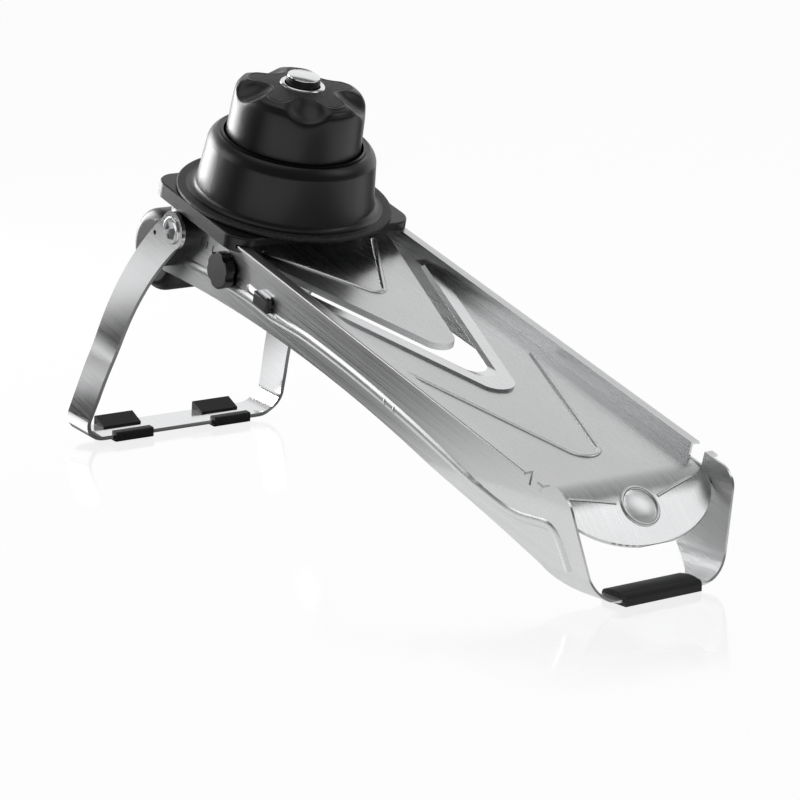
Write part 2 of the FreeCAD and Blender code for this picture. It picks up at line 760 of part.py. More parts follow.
def leg_outline():
    """Side view of the leg: a curved band with a round eye, straight near the floor."""
    edges = []
    for side in (1, -1):
        for angle in (LEG_START_ANGLE, (LEG_START_ANGLE + LEG_LOWER_ANGLE) / 2, LEG_LOWER_ANGLE):
            edges.append(leg_edge(angle, side * leg_half_width(angle)))
    rear_top, rear_middle, rear_low, front_top, front_middle, front_low = edges
    foot = leg_foot_placement()

    def at_foot(across_strip, up):
        point = foot.multVec(Vector(across_strip, 0, up))
        return (point.x, point.z)

    half = LEG_FOOT_WIDTH / 2
    band = closed_face(
        xz, rear_top, (rear_middle, rear_low), at_foot(-half, LEG_THICKNESS), at_foot(-half, -LEG_THICKNESS),
        at_foot(half, -LEG_THICKNESS), at_foot(half, LEG_THICKNESS), front_low, (front_middle, front_top),
    )
    return across(band, -WALL_SPAN, WALL_SPAN)


def leg_band():
    """Steel band bent to a U: curved arms that flare towards the floor and a slanting strip across it."""
    foot = leg_foot_placement()
    section = bent_sheet(
        leg_outer, leg_outer + LEG_FLARE, LEG_FLARE_LENGTH, 0, LEG_BEND, LEG_FLARE_EASE, RAIL_LENGTH, LEG_THICKNESS
    )
    sheet = section.extrude(Vector(2 * RAIL_LENGTH, 0, 0))
    sheet.translate(Vector(-RAIL_LENGTH, 0, 0))
    sheet = sheet.transformed(foot.toMatrix(), True)
    pivot = deck_point(*pivot_point())
    band = sheet.common(leg_outline().fuse(rod_y(LEG_EYE_RADIUS, *pivot, -WALL_SPAN, WALL_SPAN)))
    stop_angle = LEG_START_ANGLE + math.degrees(LEG_STOP_HOLE_BACK / LEG_ARC_RADIUS)
    holes = [
        rod_y(PIVOT_RADIUS + RUNNING_FIT, *pivot, -WALL_SPAN, WALL_SPAN),
        rod_y(LEG_STOP_HOLE_RADIUS, *leg_edge(stop_angle, LEG_STOP_HOLE_OFF), -WALL_SPAN, WALL_SPAN),
    ]
    return band.cut(holes).removeSplitter()


def leg_pad():
    """Rubber clip on the cross strip: a wedge over its rear edge, a bar over its front edge."""
    front = LEG_FOOT_WIDTH / 2
    low = -LEG_PAD_WALL
    top = LEG_THICKNESS + LEG_PAD_WALL
    bow = LEG_PAD_WALL * 0.2
    crest = top + LEG_PAD_WEDGE
    nose = front + LEG_PAD_WALL
    profile = closed_face(
        xz, (-nose, low), (nose, low), (nose, top - 3 * bow), ((nose - bow, top - bow), (nose - 3 * bow, top)),
        (front - LEG_PAD_FRONT_LIP, top), (front - LEG_PAD_FRONT_LIP, LEG_THICKNESS),
        (-front + LEG_PAD_REAR_LIP, LEG_THICKNESS), (-front + LEG_PAD_REAR_LIP, top - 2 * bow),
        (-nose + 3 * bow, crest), ((-nose + bow, crest - bow), (-nose, crest - 3 * bow)),
    )
    clip = across(profile, -LEG_PAD_INSIDE - LEG_PAD_LENGTH, -LEG_PAD_INSIDE)
    strip = box(-front - FIT, front + FIT, -WALL_SPAN, 0, 0, LEG_THICKNESS)
    clip = clip.cut(strip).transformed(leg_foot_placement().toMatrix(), True)
    under_floor = box(-4 * RAIL_LENGTH, RAIL_LENGTH, -WALL_SPAN, WALL_SPAN, -WALL_SPAN, 0)
    return clip.cut(under_floor)


def pivot_spacers():
    """Black spacers between walls and leg; a tail runs back along the leg to the grip."""
    pivot = deck_point(*pivot_point())
    tail_angle = LEG_START_ANGLE + math.degrees(HANDLE_RADIUS / LEG_ARC_RADIUS)
    face = teardrop(pivot, LEG_EYE_RADIUS, leg_line(tail_angle), HANDLE_WEB_RADIUS)
    spacer = across(face, -leg_inner, -wall_half)
    spacer = spacer.cut(rod_y(PIVOT_RADIUS + FIT, *pivot, -leg_outer, -inner_half))
    return Part.makeCompound(both_sides(spacer))


def hexagon(radius):
    corners = [(radius * math.cos(math.pi * k / 3), radius * math.sin(math.pi * k / 3)) for k in range(6)]
    return closed_face(xz, *corners)


def pivot_screws():
    """Shoulder screws: the leg turns on the shoulder, the thread holds wall and handle together."""
    under_head = leg_outer + RUNNING_FIT
    shoulder = rod_y(PIVOT_RADIUS, 0, 0, -under_head, -wall_half)
    thread = rod_y(PIVOT_THREAD_RADIUS, 0, 0, -wall_half, -wall_half + PIVOT_THREAD_LENGTH)
    head = rod_y(PIVOT_HEAD_RADIUS, 0, 0, -under_head - PIVOT_HEAD, -under_head)
    rim = [line for line in head.Edges if line.BoundBox.YMax < -under_head - PIVOT_HEAD / 2]
    head = head.makeFillet(PIVOT_HEAD / 2, rim)
    socket_floor = -under_head - PIVOT_HEAD + PIVOT_SOCKET_DEPTH
    socket = across(hexagon(PIVOT_SOCKET_RADIUS), -under_head - PIVOT_HEAD, socket_floor)
    screw = shoulder.fuse([thread, head]).cut(socket)
    screw.translate(xz(*deck_point(*pivot_point())))
    return Part.makeCompound(both_sides(screw))


def guide_pins():
    pins = []
    inner_end = plate_half() - SHEET * 2
    for place in guide_pin_places():
        pins += both_sides(rod_y(GUIDE_PIN_RADIUS, place, -GUIDE_PIN_DROP, -wall_half, -inner_end))
    return Part.makeCompound([on_deck(pin) for pin in pins])


def shaft_bushes():
    ring = rod_y(BUSH_RADIUS, -SHAFT_BACK, -SHAFT_DROP, -wall_half, -inner_half)
    ring = ring.cut(rod_y(SHAFT_RADIUS + RUNNING_FIT, -SHAFT_BACK, -SHAFT_DROP, -WALL_SPAN, 0))
    return Part.makeCompound([on_deck(side) for side in both_sides(ring)])


def plate_half():
    return inner_half - PLATE_SIDE_GAP


def stadium(x_low, x_high, z_low, z_high):
    """XZ face of a slot with half-round ends on its shorter sides."""
    if x_high - x_low > z_high - z_low:
        half = (z_high - z_low) / 2
        return teardrop((x_low + half, z_low + half), half, (x_high - half, z_low + half), half)
    half = (x_high - x_low) / 2
    return teardrop((x_low + half, z_low + half), half, (x_low + half, z_high - half), half)


def infeed_plate():
    """Three-cornered plate with turned-down front edges and two slotted tabs beside the walls."""
    half = plate_half()
    top = -PLATE_DROP
    outline = v_face(PLATE_APEX, PLATE_HALF_ANGLE, PLATE_TIP, PLATE_REAR, half)
    step = SHEET / math.sin(math.radians(PLATE_HALF_ANGLE))
    inset = v_face(PLATE_APEX + step, PLATE_HALF_ANGLE, PLATE_TIP - SHEET / 2, PLATE_REAR + SHEET, half)
    skirt = raised(outline, top - PLATE_SKIRT, top).cut(raised(inset, top - PLATE_SKIRT, top))
    skirt = skirt.common(box(-PLATE_SKIRT_REAR, 0, -half, half, top - PLATE_SKIRT, top))
    tab = box(-PLATE_REAR + SHEET, -TAB_FRONT, -half, -half + SHEET, top - TAB_DEPTH, top)
    pin = GUIDE_PIN_RADIUS + GUIDE_CLEARANCE
    for place in guide_pin_places():
        slot = stadium(place - pin, place + pin, -GUIDE_PIN_DROP - pin, -GUIDE_PIN_DROP + PLATE_TRAVEL + pin)
        tab = tab.cut(across(slot, -WALL_SPAN, 0))
    ridge = pressed_v(
        PLATE_BEAD_APEX, PLATE_BEAD_ANGLE, PLATE_BEAD_TIP, PLATE_BEAD_REAR, BEAD_HEIGHT, BEAD_WIDTH
    )
    ridge.translate(Vector(0, 0, top))
    plate = raised(outline, top - SHEET, top).fuse([skirt, ridge] + both_sides(tab))
    return on_deck(plate.removeSplitter())


def lift_cam():
    """Cam for a flat follower: its height falls evenly as the shaft turns."""
    rate = PLATE_TRAVEL / math.radians(KNOB_TURN)
    high = SHAFT_DROP - PLATE_DROP - SHEET - GUIDE_CLEARANCE
    points = []
    for share in range(25):
        turn = math.radians(KNOB_TURN) * share / 24
        height = high - rate * turn
        angle = math.pi / 2 + turn
        x = height * math.cos(angle) + rate * math.sin(angle)
        z = height * math.sin(angle) - rate * math.cos(angle)
        points.append(xz(x, z))
    curve = Part.BSplineCurve()
    curve.interpolate(points)
    outline = Part.Wire([curve.toShape(), Part.makeLine(points[-1], points[0])])
    cam = across(Part.Face(outline), -CAM_WIDTH / 2, CAM_WIDTH / 2)
    hub = rod_y(CAM_HUB_RADIUS, 0, 0, -CAM_WIDTH / 2, CAM_WIDTH / 2)
    return cam.fuse(hub).cut(rod_y(SHAFT_RADIUS + FIT / 2, 0, 0, -CAM_WIDTH, CAM_WIDTH))


def at_shaft(shape):
    moved = shape.copy()
    moved.translate(Vector(-SHAFT_BACK, 0, -SHAFT_DROP))
    return on_deck(moved)


def lift_cams():
    cam = lift_cam()
    cam.translate(Vector(0, -CAM_SPACING / 2, 0))
    return Part.makeCompound([at_shaft(side) for side in both_sides(cam)])


def knob_inner_face():
    return wall_half + BEAD_HEIGHT + GUIDE_CLEARANCE


def cam_shaft():
    near = knob_inner_face() + KNOB_THICKNESS - SHEET
    far = wall_half + GUIDE_CLEARANCE + CLIP_THICKNESS + SHEET
    return at_shaft(rod_y(SHAFT_RADIUS, 0, 0, -near, far))


def shaft_clip():
    low = wall_half + GUIDE_CLEARANCE
    ring = rod_y(CLIP_RADIUS, 0, 0, low, low + CLIP_THICKNESS)
    return at_shaft(ring.cut(rod_y(SHAFT_RADIUS + FIT / 2, 0, 0, 0, WALL_SPAN)))


def thickness_knob():
    """Lobed knob on the near wall."""
    inner = -knob_inner_face()
    knob = rod_y(KNOB_RADIUS, 0, 0, inner - KNOB_THICKNESS, inner)
    rim = [line for line in knob.Edges if line.BoundBox.YMax < inner - KNOB_THICKNESS / 2]
    knob = knob.makeFillet(KNOB_THICKNESS / 5, rim)
    grooves = []
    for lobe in range(KNOB_LOBES):
        angle = 2 * math.pi * lobe / KNOB_LOBES
        reach = KNOB_RADIUS + KNOB_GROOVE_RADIUS * 0.55
        x = reach * math.cos(angle)
        z = reach * math.sin(angle)
        grooves.append(rod_y(KNOB_GROOVE_RADIUS, x, z, inner - KNOB_THICKNESS, inner))
    bore = rod_y(SHAFT_RADIUS + FIT / 2, 0, 0, inner - KNOB_THICKNESS + SHEET, 0)
    return at_shaft(knob.cut(grooves + [bore]))


def latch_slider():
    """Block outside the wall and keeper plate inside it, joined through the slot."""
    half = LATCH_LENGTH / 2
    gap = GUIDE_CLEARANCE / 2
    neck_half = LATCH_SLOT_HEIGHT / 2 - gap
    block = box(
        -LATCH_BACK - half, -LATCH_BACK + half, -wall_half - LATCH_PROUD, -wall_half - BEAD_HEIGHT - gap,
        -LATCH_DROP - LATCH_HEIGHT / 2, -LATCH_DROP + LATCH_HEIGHT / 2,
    )
    face_edges = [line for line in block.Edges if line.BoundBox.YMax < -wall_half - LATCH_PROUD / 2]
    block = block.makeFillet(LATCH_PROUD / 4, face_edges)
    neck_face = stadium(
        -LATCH_BACK - half + gap, -LATCH_BACK + half - gap, -LATCH_DROP - neck_half, -LATCH_DROP + neck_half
    )
    neck = across(neck_face, -wall_half - LATCH_PROUD / 2, -inner_half + gap + SHEET)
    keeper_half = LATCH_SLOT_HEIGHT / 2 + SHEET
    keeper = box(
        -LATCH_BACK - half, -LATCH_BACK + half, -inner_half + gap, -inner_half + gap + SHEET,
        -LATCH_DROP - keeper_half, -LATCH_DROP + keeper_half,
    )
    return on_deck(block.fuse([neck, keeper]))


def latch_tab():
    """Small steel tongue that lies on the latch block."""
    low = -LATCH_DROP + LATCH_HEIGHT / 2
    tab = box(
        -LATCH_BACK - LATCH_LENGTH / 3, -LATCH_BACK + LATCH_LENGTH / 3, -wall_half - LATCH_PROUD * 0.7,
        -wall_half - GUIDE_CLEARANCE, low, low + SHEET,
    )
    return on_deck(tab)


def lip_inner():
    return rail_half + RAIL_SIDE_GAP


def runner_top():
    return -FLANGE_LIP - RUNNER_GAP


def carriage_blank(low, high):
    """Plan of the carriage with its rounded corners, between two heights."""
    rear = -PUSHER_BACK - CARRIAGE_LENGTH / 2
    half = CARRIAGE_HALF_WIDTH
    blank = box(rear, rear + CARRIAGE_LENGTH, -half, half, low, high)
    corners = [line for line in blank.Edges if abs(line.tangentAt(line.FirstParameter).z) > 0.9]
    return blank.makeFillet(CARRIAGE_CORNER, corners)


def carriage_plate():
    """Flat plate over the rails with two side lips and a round opening for the collar."""
    plate = carriage_blank(runner_top(), carriage_top)
    rim = [line for line in plate.Edges if line.BoundBox.ZMin > carriage_top - FIT]
    plate = plate.makeFillet(CARRIAGE_THICKNESS / 4, rim)
    reach = PUSHER_BACK + CARRIAGE_LENGTH
    below = box(-reach, 0, -lip_inner(), lip_inner(), runner_top(), carriage_bottom)
    opening = rod_z(NECK_RADIUS + COLLAR_GAP, -PUSHER_BACK, 0, runner_top(), carriage_top)
    holes = [rod_z(RUNNER_SCREW_RADIUS + FIT, x, y, runner_top(), carriage_bottom) for x, y in runner_screw_places()]
    return on_deck(plate.cut([below, opening] + holes))


def runner_screw_places():
    side = (lip_inner() + CARRIAGE_HALF_WIDTH) / 2
    reach = CARRIAGE_LENGTH / 2 - RUNNER_SCREW_INSET
    return [(-PUSHER_BACK + a * reach, b * side) for a in (-1, 1) for b in (-1, 1)]


def carriage_runners():
    """Strips screwed under the lips; they hook below the rails and keep the carriage on."""
    low = runner_top() - RUNNER_THICKNESS
    reach = PUSHER_BACK + CARRIAGE_LENGTH
    strip = carriage_blank(low, runner_top()).common(
        box(-reach, 0, -CARRIAGE_HALF_WIDTH, -rail_half + RUNNER_REACH, low, runner_top())
    )
    holes = [rod_z(RUNNER_SCREW_RADIUS + FIT, x, y, low, carriage_top) for x, y in runner_screw_places()]
    return Part.makeCompound([on_deck(side.cut(holes)) for side in both_sides(strip)])


def runner_screws():
    low = runner_top() - RUNNER_THICKNESS
    return Part.makeCompound([
        on_deck(rod_z(RUNNER_SCREW_RADIUS, x, y, low, carriage_bottom)) for x, y in runner_screw_places()
    ])


def cavity_radius():
    return COLLAR_BASE_RADIUS - COLLAR_WALL - 1


def holder_radius():
    return cavity_radius() - RUNNING_FIT


def neck_bottom():
    return -CARRIAGE_THICKNESS - COLLAR_GAP - RETAINER_THICKNESS


def pusher_collar():
    """Turned housing: a neck through the carriage, a flange on it and a wall round the plunger."""
    inner = NECK_RADIUS - NECK_WALL
    under = COLLAR_GAP
    top = COLLAR_GAP + FLANGE_THICKNESS
    cavity = cavity_radius()
    base = top + 2.5
    rim = COLLAR_HEIGHT
    shelf = rim - GUIDE_RING_DEPTH
    return at_pusher(turned(
        (inner, neck_bottom()), (inner, top - 0.7), (cavity, top + 2.3), (cavity, COLLAR_SIDE - 2),
        (MOUTH_RADIUS, shelf), (MOUTH_RADIUS, rim), (MOUTH_RADIUS + 2, rim + 0.2),
        ((COLLAR_TOP_RADIUS - 1.8, rim - 1.9), (COLLAR_TOP_RADIUS, COLLAR_SIDE)), (COLLAR_BASE_RADIUS, base),
        ((COLLAR_BASE_RADIUS + 1.3, top + 0.6), (FLANGE_RADIUS - FIT, top)), (FLANGE_RADIUS - FIT, under),
        (NECK_RADIUS, under), (NECK_RADIUS, neck_bottom()),
    ))


def grip_ring():
    """Textured outer ring of the flange."""
    under = COLLAR_GAP
    top = COLLAR_GAP + FLANGE_THICKNESS
    edge = GRIP_RING_RADIUS
    bow = FLANGE_THICKNESS / 2
    return at_pusher(turned(
        (FLANGE_RADIUS, under), (edge - bow / 2, under), ((edge, under + bow), (edge - bow, top)), (FLANGE_RADIUS, top)
    ))


def collar_retainer():
    outer = NECK_RADIUS + RETAINER_WIDTH
    return at_pusher(tube_z(outer, NECK_RADIUS + FIT, neck_bottom(), neck_bottom() + RETAINER_THICKNESS))


def guide_ring():
    """Smooth ring in the collar's mouth that the plunger slides in."""
    outer = MOUTH_RADIUS - FIT
    low = COLLAR_HEIGHT - GUIDE_RING_DEPTH
    return at_pusher(tube_z(outer, outer - GUIDE_RING_WALL, low, COLLAR_HEIGHT + 0.6))


def scallop_balls(radius):
    balls = []
    for scallop in range(SCALLOP_COUNT):
        angle = math.radians(SCALLOP_FACING) + 2 * math.pi * scallop / SCALLOP_COUNT
        place = Vector(SCALLOP_OUT * math.cos(angle), SCALLOP_OUT * math.sin(angle), scallop_up)
        balls.append(Part.makeSphere(radius, place))
    return balls


def knob_form(sink):
    """Outer form of the knob, or the same form drawn in by a wall thickness."""
    middle = ((KNOB_TOP_RADIUS + KNOB_CROWN_RADIUS) / 2 + 1.4, (knob_side_top + knob_shoulder) / 2 + 1.3)
    crown_bow = KNOB_CROWN - (KNOB_CROWN - knob_shoulder) * 0.25
    return turned(
        (0, KNOB_BASE), (KNOB_BASE_RADIUS - sink, KNOB_BASE), (KNOB_TOP_RADIUS - sink, knob_side_top - sink),
        ((middle[0] - sink, middle[1] - sink), (KNOB_CROWN_RADIUS - sink, knob_shoulder - sink)),
        ((KNOB_CROWN_RADIUS / 2, crown_bow - sink), (0, KNOB_CROWN - sink)),
    )


def star_prism():
    """Upright prism of the grip pad: a disc with the scallops and the ring's seat taken out."""
    disc = rod_z(PAD_RADIUS, 0, 0, KNOB_BASE, KNOB_CROWN + PAD_THICKNESS)
    bites = [rod_z(TRIM_RING_RADIUS + FIT, 0, 0, KNOB_BASE, KNOB_CROWN + PAD_THICKNESS)]
    for ball in scallop_balls(SCALLOP_RADIUS):
        centre = ball.CenterOfMass
        reach = SCALLOP_RADIUS + PAD_MARGIN
        bites.append(rod_z(reach, centre.x, centre.y, KNOB_BASE, KNOB_CROWN + PAD_THICKNESS))
    return disc.cut(bites)


def pad_solid():
    seat = knob_form(0)
    seat.translate(Vector(0, 0, -PAD_THICKNESS * 0.7))
    skin = knob_form(0)
    skin.translate(Vector(0, 0, PAD_THICKNESS * 0.3))
    return skin.cut(seat).common(star_prism())


def trim_ring_seat():
    return KNOB_CROWN - PAD_THICKNESS


def button_bore():
    return BUTTON_RADIUS + BUTTON_GAP


def pusher_knob():
    """Hollow grip with finger scallops, a seat for its pad and a bore for the button."""
    hollow = knob_form(KNOB_WALL).cut(scallop_balls(SCALLOP_RADIUS + KNOB_WALL))
    shell = knob_form(0).cut(scallop_balls(SCALLOP_RADIUS) + [hollow])
    cuts = [
        pad_solid(),
        rod_z(button_bore(), 0, 0, KNOB_BASE, 2 * KNOB_CROWN),
        rod_z(TRIM_RING_RADIUS + FIT, 0, 0, trim_ring_seat(), 2 * KNOB_CROWN),
    ]
    return at_pusher(shell.cut(cuts))


def grip_pad():
    return at_pusher(pad_solid())


def trim_ring():
    inner = button_bore()
    low = trim_ring_seat()
    high = low + TRIM_RING_HEIGHT
    middle = (inner + TRIM_RING_RADIUS) / 2
    return at_pusher(turned(
        (inner, low), (TRIM_RING_RADIUS, low), (TRIM_RING_RADIUS, low + PAD_THICKNESS),
        ((middle, high), (inner, low + PAD_THICKNESS)),
    ))


def stem_inner():
    return BUTTON_FLANGE_RADIUS + BUTTON_GAP


def stem_top():
    return KNOB_CROWN - KNOB_WALL - PAD_THICKNESS


def plunger_stem():
    """Tube that ties the knob to the food holder and guides the button."""
    inner = stem_inner()
    outer = inner + STEM_WALL
    low = KNOB_BASE
    seat = STEM_SPRING_SEAT
    return at_pusher(turned(
        (0, seat - STEM_WALL), (inner, seat - STEM_WALL), (inner, low), (STEM_FOOT_RADIUS, low),
        (STEM_FOOT_RADIUS, low + STEM_FOOT), (outer, low + STEM_FOOT), (outer, stem_top()), (inner, stem_top()),
        (inner, seat), (0, seat),
    ).cut(holder_screw_shanks(FIT)))


def holder_screw_places():
    ring = (STEM_FOOT_RADIUS + stem_inner() + STEM_WALL) / 2
    return [(ring * math.cos(2 * math.pi * k / 3), ring * math.sin(2 * math.pi * k / 3)) for k in range(3)]


def holder_bottom():
    return KNOB_BASE - HOLDER_THICKNESS


def holder_screw_shanks(gap):
    top = KNOB_BASE + STEM_FOOT
    return [rod_z(HOLDER_SCREW_RADIUS + gap, x, y, holder_bottom(), top) for x, y in holder_screw_places()]


def holder_screws():
    screws = []
    for (x, y), shank in zip(holder_screw_places(), holder_screw_shanks(0)):
        head = rod_z(HOLDER_SCREW_HEAD, x, y, holder_bottom() - SHEET, holder_bottom())
        screws.append(at_pusher(shank.fuse(head)))
    return Part.makeCompound(screws)


def spike_places():
    """Two rings of spikes under the holder disc, clear of its screws, that pass down through the neck."""
    neck = NECK_RADIUS - NECK_WALL
    places = []
    for ring, count in ((0.38, 3), (0.78, 9)):
        for spike in range(count):
            angle = 2 * math.pi * (spike + 0.5) / count
            places.append((neck * ring * math.cos(angle), neck * ring * math.sin(angle)))
    return places


def holder_disc():
    disc = rod_z(holder_radius(), 0, 0, holder_bottom(), KNOB_BASE)
    holes = [rod_z(SPIKE_RADIUS + FIT, x, y, holder_bottom(), KNOB_BASE) for x, y in spike_places()]
    return at_pusher(disc.cut(holder_screw_shanks(FIT) + holes))


def holder_spikes():
    spikes = []
    for x, y in spike_places():
        root = rod_z(SPIKE_RADIUS, x, y, holder_bottom(), KNOB_BASE)
        tip = Part.makeCone(SPIKE_RADIUS, SPIKE_RADIUS / 6, SPIKE_LENGTH, Vector(x, y, holder_bottom()), Vector(0, 0, -1))
        spikes.append(at_pusher(root.fuse(tip)))
    return Part.makeCompound(spikes)


def button_flange_top():
    return stem_top() - BUTTON_GAP


def push_button():
    """Button with a domed face and a flange that keeps it under the knob's crown."""
    top = KNOB_CROWN + BUTTON_PROUD
    low = button_flange_top() - BUTTON_FLANGE
    edge = BUTTON_GAP * 2
    return at_pusher(turned(
        (0, low), (BUTTON_FLANGE_RADIUS, low), (BUTTON_FLANGE_RADIUS, button_flange_top()),
        (BUTTON_RADIUS, button_flange_top()), (BUTTON_RADIUS, top - 2 * edge),
        ((BUTTON_RADIUS - edge * 0.3, top - edge * 0.7), (BUTTON_RADIUS - edge * 1.2, top - edge * 0.3)), (0, top),
    ))


def button_spring():
    """Return spring under the button, drawn as the plain sleeve that its coil fills."""
    low = STEM_SPRING_SEAT + FIT
    high = button_flange_top() - BUTTON_FLANGE - FIT
    return at_pusher(tube_z(SPRING_RADIUS + SPRING_WIRE, SPRING_RADIUS - SPRING_WIRE, low, high))


def build():
    return {
        "side_frame": side_frame(),
        "deck_plate": deck_plate(),
        "v_blade": v_blade(),
        "blade_rivets": blade_rivets(),
        "front_foot_pad": front_foot_pad(),
        "rear_handle": rear_handle(),
        "pivot_spacers": pivot_spacers(),
        "pivot_screws": pivot_screws(),
        "guide_pins": guide_pins(),
        "shaft_bushes": shaft_bushes(),
        "infeed_plate": infeed_plate(),
        "thickness_knob": thickness_knob(),
        "cam_shaft": cam_shaft(),
        "lift_cams": lift_cams(),
        "shaft_clip": shaft_clip(),
        "leg_band": leg_band(),
        "leg_pad_left": mirrored(leg_pad()),
        "leg_pad_right": leg_pad(),
        "latch_slider": latch_slider(),
        "latch_tab": latch_tab(),
        "carriage_plate": carriage_plate(),
        "carriage_runners": carriage_runners(),
        "runner_screws": runner_screws(),
        "pusher_collar": pusher_collar(),
        "grip_ring": grip_ring(),
        "collar_retainer": collar_retainer(),
        "guide_ring": guide_ring(),
        "pusher_knob": pusher_knob(),
        "grip_pad": grip_pad(),
        "trim_ring": trim_ring(),
        "plunger_stem": plunger_stem(),
        "holder_disc": holder_disc(),
        "holder_spikes": holder_spikes(),
        "holder_screws": holder_screws(),
        "push_button": push_button(),
        "button_spring": button_spring(),
    }


for name, shape in build().items():
    shape.exportStep(f"parts/{name}.step")
    print(name, len(shape.Solids), "solids", round(shape.Volume), "mm3", shape.isValid())
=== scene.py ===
# %% [markdown]
# # Looks for a mandoline slicer
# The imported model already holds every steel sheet, moulding and screw at its real size. This lesson
# dresses it: smooth skins, brushed and polished steel, satin and grained black mouldings, soft light.
# All lengths are metres in the model's own frame: +X runs down the slope to the front foot, +Z is up.

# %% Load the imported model
import json
import math

import bmesh
import bpy
from mathutils import Matrix, Vector
from mathutils.bvhtree import BVHTree


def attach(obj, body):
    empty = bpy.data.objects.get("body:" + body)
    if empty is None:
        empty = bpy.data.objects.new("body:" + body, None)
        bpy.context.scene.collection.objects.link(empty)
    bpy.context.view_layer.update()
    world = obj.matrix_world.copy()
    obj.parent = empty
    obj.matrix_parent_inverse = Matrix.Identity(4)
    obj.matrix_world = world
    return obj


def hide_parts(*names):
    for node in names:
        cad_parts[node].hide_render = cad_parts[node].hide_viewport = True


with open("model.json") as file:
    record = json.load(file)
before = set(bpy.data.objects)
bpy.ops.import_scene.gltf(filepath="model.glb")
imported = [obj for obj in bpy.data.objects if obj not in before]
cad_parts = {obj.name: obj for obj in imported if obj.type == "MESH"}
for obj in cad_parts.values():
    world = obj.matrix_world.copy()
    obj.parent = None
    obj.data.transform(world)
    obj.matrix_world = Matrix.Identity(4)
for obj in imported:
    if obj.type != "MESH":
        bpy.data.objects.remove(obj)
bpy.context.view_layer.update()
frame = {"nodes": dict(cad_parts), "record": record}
nodes = frame["nodes"]
scene = bpy.context.scene
scene.view_settings.view_transform = "Standard"

# %% [markdown]
# ## Camera
# The slicer was photographed with a long lens from its near front corner, a little above the deck. A
# camera could be aimed by hand, but straight rails and feet on a floor are enough to solve for it. Its
# place and its two angles were fitted to them once and are plain numbers here.

# %% Camera
CAMERA_PLACE = Vector((0.99766, -0.85738, 0.38084))
CAMERA_AZIMUTH = math.radians(54.313)
CAMERA_ELEVATION = math.radians(12.488)
LENS_LENGTH, SENSOR_WIDTH = 135, 36
NEAREST_SEEN = 0.05


def camera_axes(azimuth, elevation):
    """Right, up and backward directions of a camera that isn't rolled."""
    right = Vector((math.cos(azimuth), math.sin(azimuth), 0))
    level = math.cos(elevation)
    back = Vector((math.sin(azimuth) * level, -math.cos(azimuth) * level, math.sin(elevation)))
    return right, back.cross(right), back


lens = bpy.data.cameras.new("photo_camera")
lens.sensor_width = SENSOR_WIDTH
lens.lens = LENS_LENGTH
lens.clip_start = NEAREST_SEEN
camera = bpy.data.objects.new("photo_camera", lens)
scene.collection.objects.link(camera)
turn = Matrix(camera_axes(CAMERA_AZIMUTH, CAMERA_ELEVATION)).transposed()
camera.matrix_world = Matrix.Translation(CAMERA_PLACE) @ turn.to_4x4()
scene.camera = camera
print("camera at", tuple(round(v, 3) for v in camera.location))

# %% [markdown]
# ## Node helpers
# Every finish below is a small node tree. Built node by node, such a tree takes many lines that all look
# alike, so these helpers add a node with its settings and links in one line, do sums and ranges, and open
# an empty tree for a material or a shared group.

# %% Node helpers


def add_node(tree, kind, settings=None, **inputs):
    """Adds a node. Inputs are constants or sockets to link from, by name or, as n0, n1, by number."""
    node = tree.nodes.new(kind)
    for name, value in (settings or {}).items():
        setattr(node, name, value)
    for name, value in inputs.items():
        by_number = name.startswith("n")
        socket = node.inputs[int(name[1:]) if by_number else name.replace("_", " ")]
        if isinstance(value, bpy.types.NodeSocket):
            tree.links.new(value, socket)
        else:
            socket.default_value = value
    return node


def calc(tree, operation, *values):
    """One sum on two or three constants or sockets."""
    inputs = {f"n{number}": value for number, value in enumerate(values)}
    return add_node(tree, "ShaderNodeMath", {"operation": operation}, **inputs).outputs[0]


def map_range(tree, value, span, levels, ease="LINEAR"):
    """Maps a value from a span to a pair of levels and holds it at both ends."""
    return add_node(
        tree, "ShaderNodeMapRange", {"interpolation_type": ease},
        n0=value, n1=span[0], n2=span[1], n3=levels[0], n4=levels[1],
    ).outputs[0]


def open_material(name):
    material = bpy.data.materials.new(name)
    material.use_nodes = True
    material.node_tree.nodes.clear()
    return material, material.node_tree


def open_group(name, inputs, outputs):
    """Empty shader group with float inputs {name: default} and float outputs."""
    group = bpy.data.node_groups.new(name, "ShaderNodeTree")
    for label, default in inputs.items():
        socket = group.interface.new_socket(label, in_out="INPUT", socket_type="NodeSocketFloat")
        socket.default_value = default
    for label in outputs:
        group.interface.new_socket(label, in_out="OUTPUT", socket_type="NodeSocketFloat")
    return group, group.nodes.new("NodeGroupInput"), group.nodes.new("NodeGroupOutput")


print("node helpers ready")

# %% [markdown]
# ## Shared effects
# Brushed steel is drawn through a belt, so its scratches are very long in one direction. A noise that is
# stretched along the sheet gives them. Each steel piece carries a map, laid further down, that says which
# way the belt ran. Mouldings come from a spark-eroded tool and have a fine even grain, handling leaves
# faint broad smudges, and the soft grips have small raised dots. Each effect is one group with named
# inputs, so several finishes share it with their own values.

# %% Shared effects
GRAIN_MAP = "grain"
CLOUDS_PER_METRE = 18.0
SMUDGES_PER_METRE = 26.0
DOT_SLOPE = (0.15, 0.65)
DOT_DISORDER = 0.55


